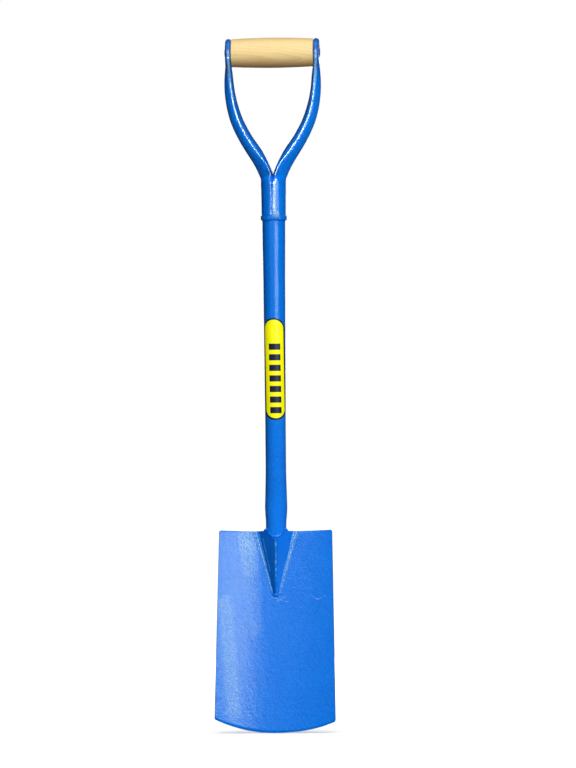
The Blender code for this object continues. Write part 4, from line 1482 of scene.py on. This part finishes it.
def tail_weld_rings(side, rows=90, spots=12):
    near = FOOT_RADIUS + 1.5 * GAP
    blade = setting("blade")
    start = blade.length - TAIL_BELOW_TOP + 2.5 * TAIL_WELD_LEG
    end = blade.length - TAIL_WELD_LEG / 2
    rings = []
    for share in steps(rows):
        v = start + (end - start) * share
        u = near
        for _ in range(6):
            w = ridge_face(u, v) - blade.thickness - GAP
            u = math.sqrt(near**2 - (w - FOOT_OFFSET) ** 2)
        leg = TAIL_WELD_LEG * (0.5 + 0.5 * fading(2 * share - 1, 4))
        beside = math.sqrt(near**2 - (w - leg - FOOT_OFFSET) ** 2)
        under = ridge_face(u + leg, v) - blade.thickness - GAP
        ring = [(at(side * u, v, w), 0.0, 0.0)]
        first, last = Vector((beside, w - leg)), Vector((u + leg, under))
        belly = Vector((u + leg * 0.70, w - leg * 0.82))
        for t in steps(spots):
            point = first * (1 - t) ** 2 + belly * 2 * t * (1 - t) + last * t**2
            ring.append((at(side * point.x, v, point.y), 2 * t - 1, max(math.sin(math.pi * t), 0.0) ** 0.5))
        rings.append((v, ring))
    return rings


def lip_rings(rows=80, spots=17):
    """The bead along the rim of the shaft's lip, where it lies on the ridge plate."""
    length = setting("blade").length
    rings = []
    for share in steps(rows, -1.0, 1.0):
        angle = LIP_BEAD_TURN * share
        v = length - LIP_BELOW_TOP + LIP_SLOPE * FOOT_RADIUS * (1 - math.cos(angle))
        fade = fading(share, 5)
        ring = []
        for turn in around(spots):
            out, up = math.cos(turn), math.sin(turn)
            radius = FOOT_RADIUS + GAP + LIP_BEAD * (0.15 + 0.85 * fade) * (0.5 + 0.5 * out)
            height = v + LIP_BEAD * 1.5 * (0.3 + 0.7 * fade) * up + LIP_BEAD
            point = at(radius * math.sin(angle), height, FOOT_OFFSET + radius * math.cos(angle))
            ring.append((point, up, max(out, 0.0) ** 0.5))
        rings.append((angle * FOOT_RADIUS, ring))
    return rings


def blob_rings(rows=16, sides=40):
    """A lump of weld metal in front, where the ring of weld was finished."""
    rings = []
    for row in range(rows):
        share = (row + 0.2) / (rows - 0.8)
        turn = math.pi * (1 - share) / 2
        ring = []
        for angle in around(sides):
            across = BLOB_REACH * math.sin(turn) * math.cos(angle)
            up = BLOB_REACH * math.sin(turn) * math.sin(angle)
            radius = SOCKET_RADIUS + GAP + BLOB_HEIGHT * math.cos(turn)
            side = BLOB_ASIDE + across / SOCKET_RADIUS
            point = Vector((radius * math.sin(side), -radius * math.cos(side), up + BLOB_RISE))
            ring.append((point, math.cos(angle), math.cos(turn) ** 0.5 if row else 0.0))
        rings.append((share * BLOB_REACH, ring))
    return rings


def drop_tree():
    """Geometry nodes that scatter small flattened drops over a strip."""
    welds = setting("welds")
    lengths = {"Drop Radius": welds.drop_radius}
    nodes, size = open_tree("weld_drops", lengths, density=DROP_DENSITY, seed=welds.seed)
    spread = nodes.tree.nodes.new("GeometryNodeDistributePointsOnFaces")
    nodes.feed(spread, {"Mesh": size["Geometry"], "Density": size["Density"], "Seed": size["Seed"]})
    drop = nodes.node("GeometryNodeMeshIcoSphere", None, {"Radius": 1.0, "Subdivisions": 2})
    smallest, largest = 0.35, 1.0
    sockets = {2: smallest, 3: largest, "Seed": size["Seed"]}
    amount = nodes.node("FunctionNodeRandomValue", {"data_type": "FLOAT"}, sockets, out=1)
    radius = amount * size["Drop Radius"]
    scale = nodes.node("ShaderNodeCombineXYZ", None, {0: radius, 1: radius, 2: radius * 0.7})
    strewn = nodes.node("GeometryNodeInstanceOnPoints", None, {
        "Points": Wire(nodes, spread.outputs["Points"]), "Instance": drop,
        "Rotation": Wire(nodes, spread.outputs["Rotation"]), "Scale": scale,
    })
    plain = nodes.node("GeometryNodeRealizeInstances", None, {"Geometry": strewn})
    smoothed = nodes.node("GeometryNodeSetShadeSmooth", None, {"Geometry": plain})
    return close_tree(nodes, size, smoothed)


def make_drops(paint, count=30):
    """Spatter beside the ridge plate's welds, most of it on the right."""
    length = setting("blade").length
    work = bmesh.new()
    for side, inner, outer, lower in DROP_STRIPS:
        rows = []
        for below in steps(count, 0.0, DROP_STRIP_LENGTH):
            v = length - DROP_BELOW_TOP - lower - below
            pair = []
            for beyond in (inner, outer):
                u = ridge_half(v) + beyond
                pair.append(work.verts.new(at(side * u, v, blade_face(u) + 0.0001)))
            rows.append(pair)
        for low, high in zip(rows, rows[1:]):
            corners = (low[0], low[1], high[1], high[0])
            work.faces.new(corners if side < 0 else corners[::-1])
    work.transform(blade_matrix())
    piece = added("weld_spatter", as_mesh("weld_spatter", work))
    run_tree(piece, drop_tree(), {"Paint": paint})
    settle(piece, "weld_paint")


# Stage


def from_front(azimuth, distance, height):
    """A point this many degrees to the right of the front."""
    turn = math.radians(azimuth)
    return Vector((distance * math.sin(turn), -distance * math.cos(turn), height))


def glowing_panel(name, azimuth, distance, rise, aim, width, height, power, tint=(1.0, 1.0, 1.0)):
    """A softbox of this size that faces a point at the height aim, from this azimuth, distance and rise."""
    data = bpy.data.lights.new(name, "AREA")
    data.shape = "RECTANGLE"
    data.size = width
    data.size_y = height
    data.energy = power * math.pi * width * height
    data.color = tint
    lamp = added(name, data)
    place = from_front(azimuth, distance, rise)
    lamp.location = place
    lamp.rotation_euler = (Vector((0.0, 0.0, aim)) - place).to_track_quat("-Z", "Y").to_euler()
    lamp.visible_camera = False
    return lamp


def shine_on(lamp, pieces):
    """Lets the lamp light these pieces alone."""
    lit = bpy.data.collections.new(lamp.name)
    for piece in pieces:
        lit.objects.link(piece)
    lamp.light_linking.receiver_collection = lit


def named(words):
    """The meshes whose names begin with one of these words."""
    meshes = [piece for piece in bpy.context.scene.objects if piece.type == "MESH"]
    return [piece for piece in meshes if piece.name.startswith(words)]


def distant_light(name, place, strength, spread):
    """A broad light from far away in the direction of this point."""
    data = bpy.data.lights.new(name, "SUN")
    data.energy = strength
    data.angle = math.radians(spread)
    lamp = added(name, data)
    lamp.rotation_euler = (-place).to_track_quat("-Z", "Y").to_euler()
    return lamp


def light_spade(settings):
    for name, words, azimuth, width, low, high, share in SOFTBOXES:
        middle, power = (low + high) / 2, settings.key_light * share
        place = (azimuth, WALL, middle)
        lamp = glowing_panel(name, *place, middle, width, high - low, power, SOFTBOX_COLOUR)
        lamp.visible_diffuse = name not in REFLECTED_ONLY
        shine_on(lamp, named(words))
    glowing_panel("front_fill", *FRONT_FILL, settings.fill_light)
    glowing_panel("high_front", *HIGH_FRONT, settings.high_light)
    for name, words, width, share in OVERHEAD:
        lamp = glowing_panel(name, *ABOVE, GRIP_HEIGHT, width, 0.30, settings.top_light * share)
        shine_on(lamp, named(words))
    glowing_panel("back_panel", *BACK_PANEL, BACK_GLOW)
    for name, words, azimuth, elevation, share, shadow in DAYLIGHT:
        rise = math.radians(elevation)
        place = from_front(azimuth, math.cos(rise), math.sin(rise))
        lamp = distant_light(name, place, settings.soft_light * share * math.pi, 50)
        lamp.data.use_shadow = shadow
        lamp.visible_glossy = False
        shine_on(lamp, named(words))


def make_floor(reach=14.0):
    """A pale floor that is lit from above by a light of its own, so that it stays white."""
    work = bmesh.new()
    corners = [(-reach, -reach), (reach, -reach), (reach, reach), (-reach, reach)]
    work.faces.new([work.verts.new((x, y, 0.0)) for x, y in corners])
    floor = added("pale_floor", as_mesh("pale_floor", work))
    made, nodes, shader = new_material("pale_floor")
    seen = nodes.node("ShaderNodeLightPath")
    base = nodes.mix_colour(seen, (0.04, 0.04, 0.04), (0.96, 0.96, 0.96))
    nodes.feed(shader, {"Base Color": base, "Roughness": 0.9, "Specular IOR Level": 0.0})
    floor.data.materials.append(made)
    shine_on(distant_light("floor_light", Vector((0.0, 0.0, 1.0)), 3.6, 60), [floor])


def make_world():
    """White to the camera, and a dim room to everything else."""
    world = bpy.data.worlds.new("studio")
    world.use_nodes = True
    nodes = Nodes(world.node_tree)
    seen = nodes.node("ShaderNodeLightPath")
    room = nodes.mix_colour(seen, (0.010, 0.010, 0.010), (1.0, 1.0, 1.0))
    nodes.feed(world.node_tree.nodes["Background"], {"Color": room})
    bpy.context.scene.world = world


def make_camera(settings):
    data = bpy.data.cameras.new("camera")
    data.sensor_width = FRAME_SENSOR
    data.lens = FRAME_SENSOR * settings.distance / (FRAME_HEIGHT * PIXEL)
    camera = added("camera", data)
    turn = settings.turn
    back, height = FRAME_MIDDLE
    aim = Vector((FRAME_ASIDE * math.cos(turn), back + FRAME_ASIDE * math.sin(turn), height))
    camera.location = aim + Vector((math.sin(turn), -math.cos(turn), 0.0)) * settings.distance
    level = Euler((math.pi / 2, 0.0, turn)).to_matrix()
    camera.rotation_euler = (level @ Matrix.Rotation(settings.roll, 3, "Z")).to_euler()
    bpy.context.scene.camera = camera


# Operators


class SPADE_OT_blade(bpy.types.Operator):
    """Add the dished blade and the folded plate let into its top"""

    bl_idname = "spade.add_blade"
    bl_label = "Blade"

    def execute(self, context):
        paint = tuple(context.scene.spade_finish.paint)
        make_blade(painted("blade_finish", paint, gloss=0.175, wear=blade_wear_and_painted_highlights))
        make_ridge(painted("ridge_finish", paint, gloss=0.17, peel=0.3, sparkle=0.3, wear=crest_painted_highlights))
        return {"FINISHED"}


class SPADE_OT_shaft(bpy.types.Operator):
    """Add the bent tube that joins the blade to the handle"""

    bl_idname = "spade.add_shaft"
    bl_label = "Shaft"

    def execute(self, context):
        paint = tuple(context.scene.spade_finish.paint)
        make_shaft(painted("shaft_finish", paint, gloss=0.17, peel=0.7, sparkle=0.5, dull=SHAFT_DULL))
        return {"FINISHED"}


class SPADE_OT_handle(bpy.types.Operator):
    """Add the pressed handle with its socket, arms and ears, and the rivet through it"""

    bl_idname = "spade.add_handle"
    bl_label = "Handle"

    def execute(self, context):
        paint = tuple(context.scene.spade_finish.paint)
        make_handle(painted(
            "handle_finish", paint, gloss=0.15, peel=0.95, sparkle=0.6, wear=handle_painted_light, dull=HANDLE_DULL
        ))
        make_rivet(painted("rivet_finish", paint, gloss=0.26, peel=0.5))
        return {"FINISHED"}


class SPADE_OT_grip(bpy.types.Operator):
    """Add the turned wooden grip"""

    bl_idname = "spade.add_grip"
    bl_label = "Grip"

    def execute(self, context):
        make_grip(turned_wood("grip_finish"))
        return {"FINISHED"}


class SPADE_OT_label(bpy.types.Operator):
    """Add the plain label round the shaft"""

    bl_idname = "spade.add_label"
    bl_label = "Label"

    def execute(self, context):
        make_label(printed_film("label_finish"))
        return {"FINISHED"}


class SPADE_OT_welds(bpy.types.Operator):
    """Add the weld beads and the spatter beside them"""

    bl_idname = "spade.add_welds"
    bl_label = "Welds"

    def execute(self, context):
        settings, finish = context.scene.spade_welds, context.scene.spade_finish
        # The weld paint carries painted highlights on its beads' crests
        look = {"gloss": 0.15, "peel": 0.3, "sparkle": 0.4, "shine": 1.8, "wear": weld_painted_highlights}
        paint = painted("weld_finish", tuple(finish.weld_paint), **look)
        thick_paint = painted("bead_finish", tuple(finish.paint), gloss=0.22, peel=0.5, sparkle=0.6)
        tree = ripple_tree()
        thin = {"Paint": paint}
        thick = {"Paint": thick_paint}
        rough = {"Paint": paint, "Lump Height": 2 * settings.lump_height, "Lump Size": ROUGH_LUMP_SIZE}
        blade, handle = blade_matrix(), handle_matrix()
        bead("collar_bead", collar_rings(), handle, thick, tree, "collar_weld", looped=True)
        bead("toe_bead", toe_weld_rings(), blade, thick, tree, "toe_weld")
        bead("lip_bead", lip_rings(), blade, thick, tree)
        bead("collar_blob", blob_rings(), handle, rough, tree)
        for side, word in SIDES:
            for values in (thin, rough, thick):
                values["Seed"] = settings.seed + side
            joint = rough if side > 0 else thin
            bead(f"ridge_bead_{word}", ridge_weld_rings(side), blade, joint, tree, f"ridge_weld_{word}")
            bead(f"foot_bead_{word}", foot_weld_rings(side), blade, thick, tree, f"foot_weld_{word}")
            bead(f"tail_bead_{word}", tail_weld_rings(side), blade, thick, tree, f"tail_weld_{word}")
        make_drops(paint)
        return {"FINISHED"}


class SPADE_OT_stage(bpy.types.Operator):
    """Add the floor, the lights and the camera"""

    bl_idname = "spade.add_stage"
    bl_label = "Stage"

    def execute(self, context):
        settings = context.scene.spade_stage
        context.scene.view_settings.view_transform = "Standard"
        make_world()
        make_floor()
        light_spade(settings)
        make_camera(settings)
        return {"FINISHED"}


OPERATORS = (
    SPADE_OT_blade, SPADE_OT_shaft, SPADE_OT_handle, SPADE_OT_grip, SPADE_OT_label, SPADE_OT_welds,
    SPADE_OT_stage,
)


class SPADE_PT_panel(bpy.types.Panel):
    """The spade's sizes, colours and pieces"""

    bl_idname = "SPADE_PT_panel"
    bl_label = "Digging Spade"
    bl_space_type = "VIEW_3D"
    bl_region_type = "UI"
    bl_category = "Spade"

    def draw(self, context):
        for name, group in GROUPS:
            box = self.layout.box()
            for word in group.__annotations__:
                box.prop(getattr(context.scene, name), word)
        for operator in OPERATORS:
            self.layout.operator(operator.bl_idname)


def register():
    for name, group in GROUPS:
        bpy.utils.register_class(group)
        setattr(bpy.types.Scene, name, bpy.props.PointerProperty(type=group))
    for operator in OPERATORS:
        bpy.utils.register_class(operator)
    bpy.utils.register_class(SPADE_PT_panel)


def unregister():
    bpy.utils.unregister_class(SPADE_PT_panel)
    for operator in reversed(OPERATORS):
        bpy.utils.unregister_class(operator)
    for name, group in reversed(GROUPS):
        delattr(bpy.types.Scene, name)
        bpy.utils.unregister_class(group)


def main():
    register()
    bpy.ops.spade.add_blade()
    bpy.ops.spade.add_shaft()
    bpy.ops.spade.add_handle()
    bpy.ops.spade.add_grip()
    bpy.ops.spade.add_label()
    bpy.ops.spade.add_welds()
    bpy.ops.spade.add_stage()


if __name__ == "__main__":
    main()
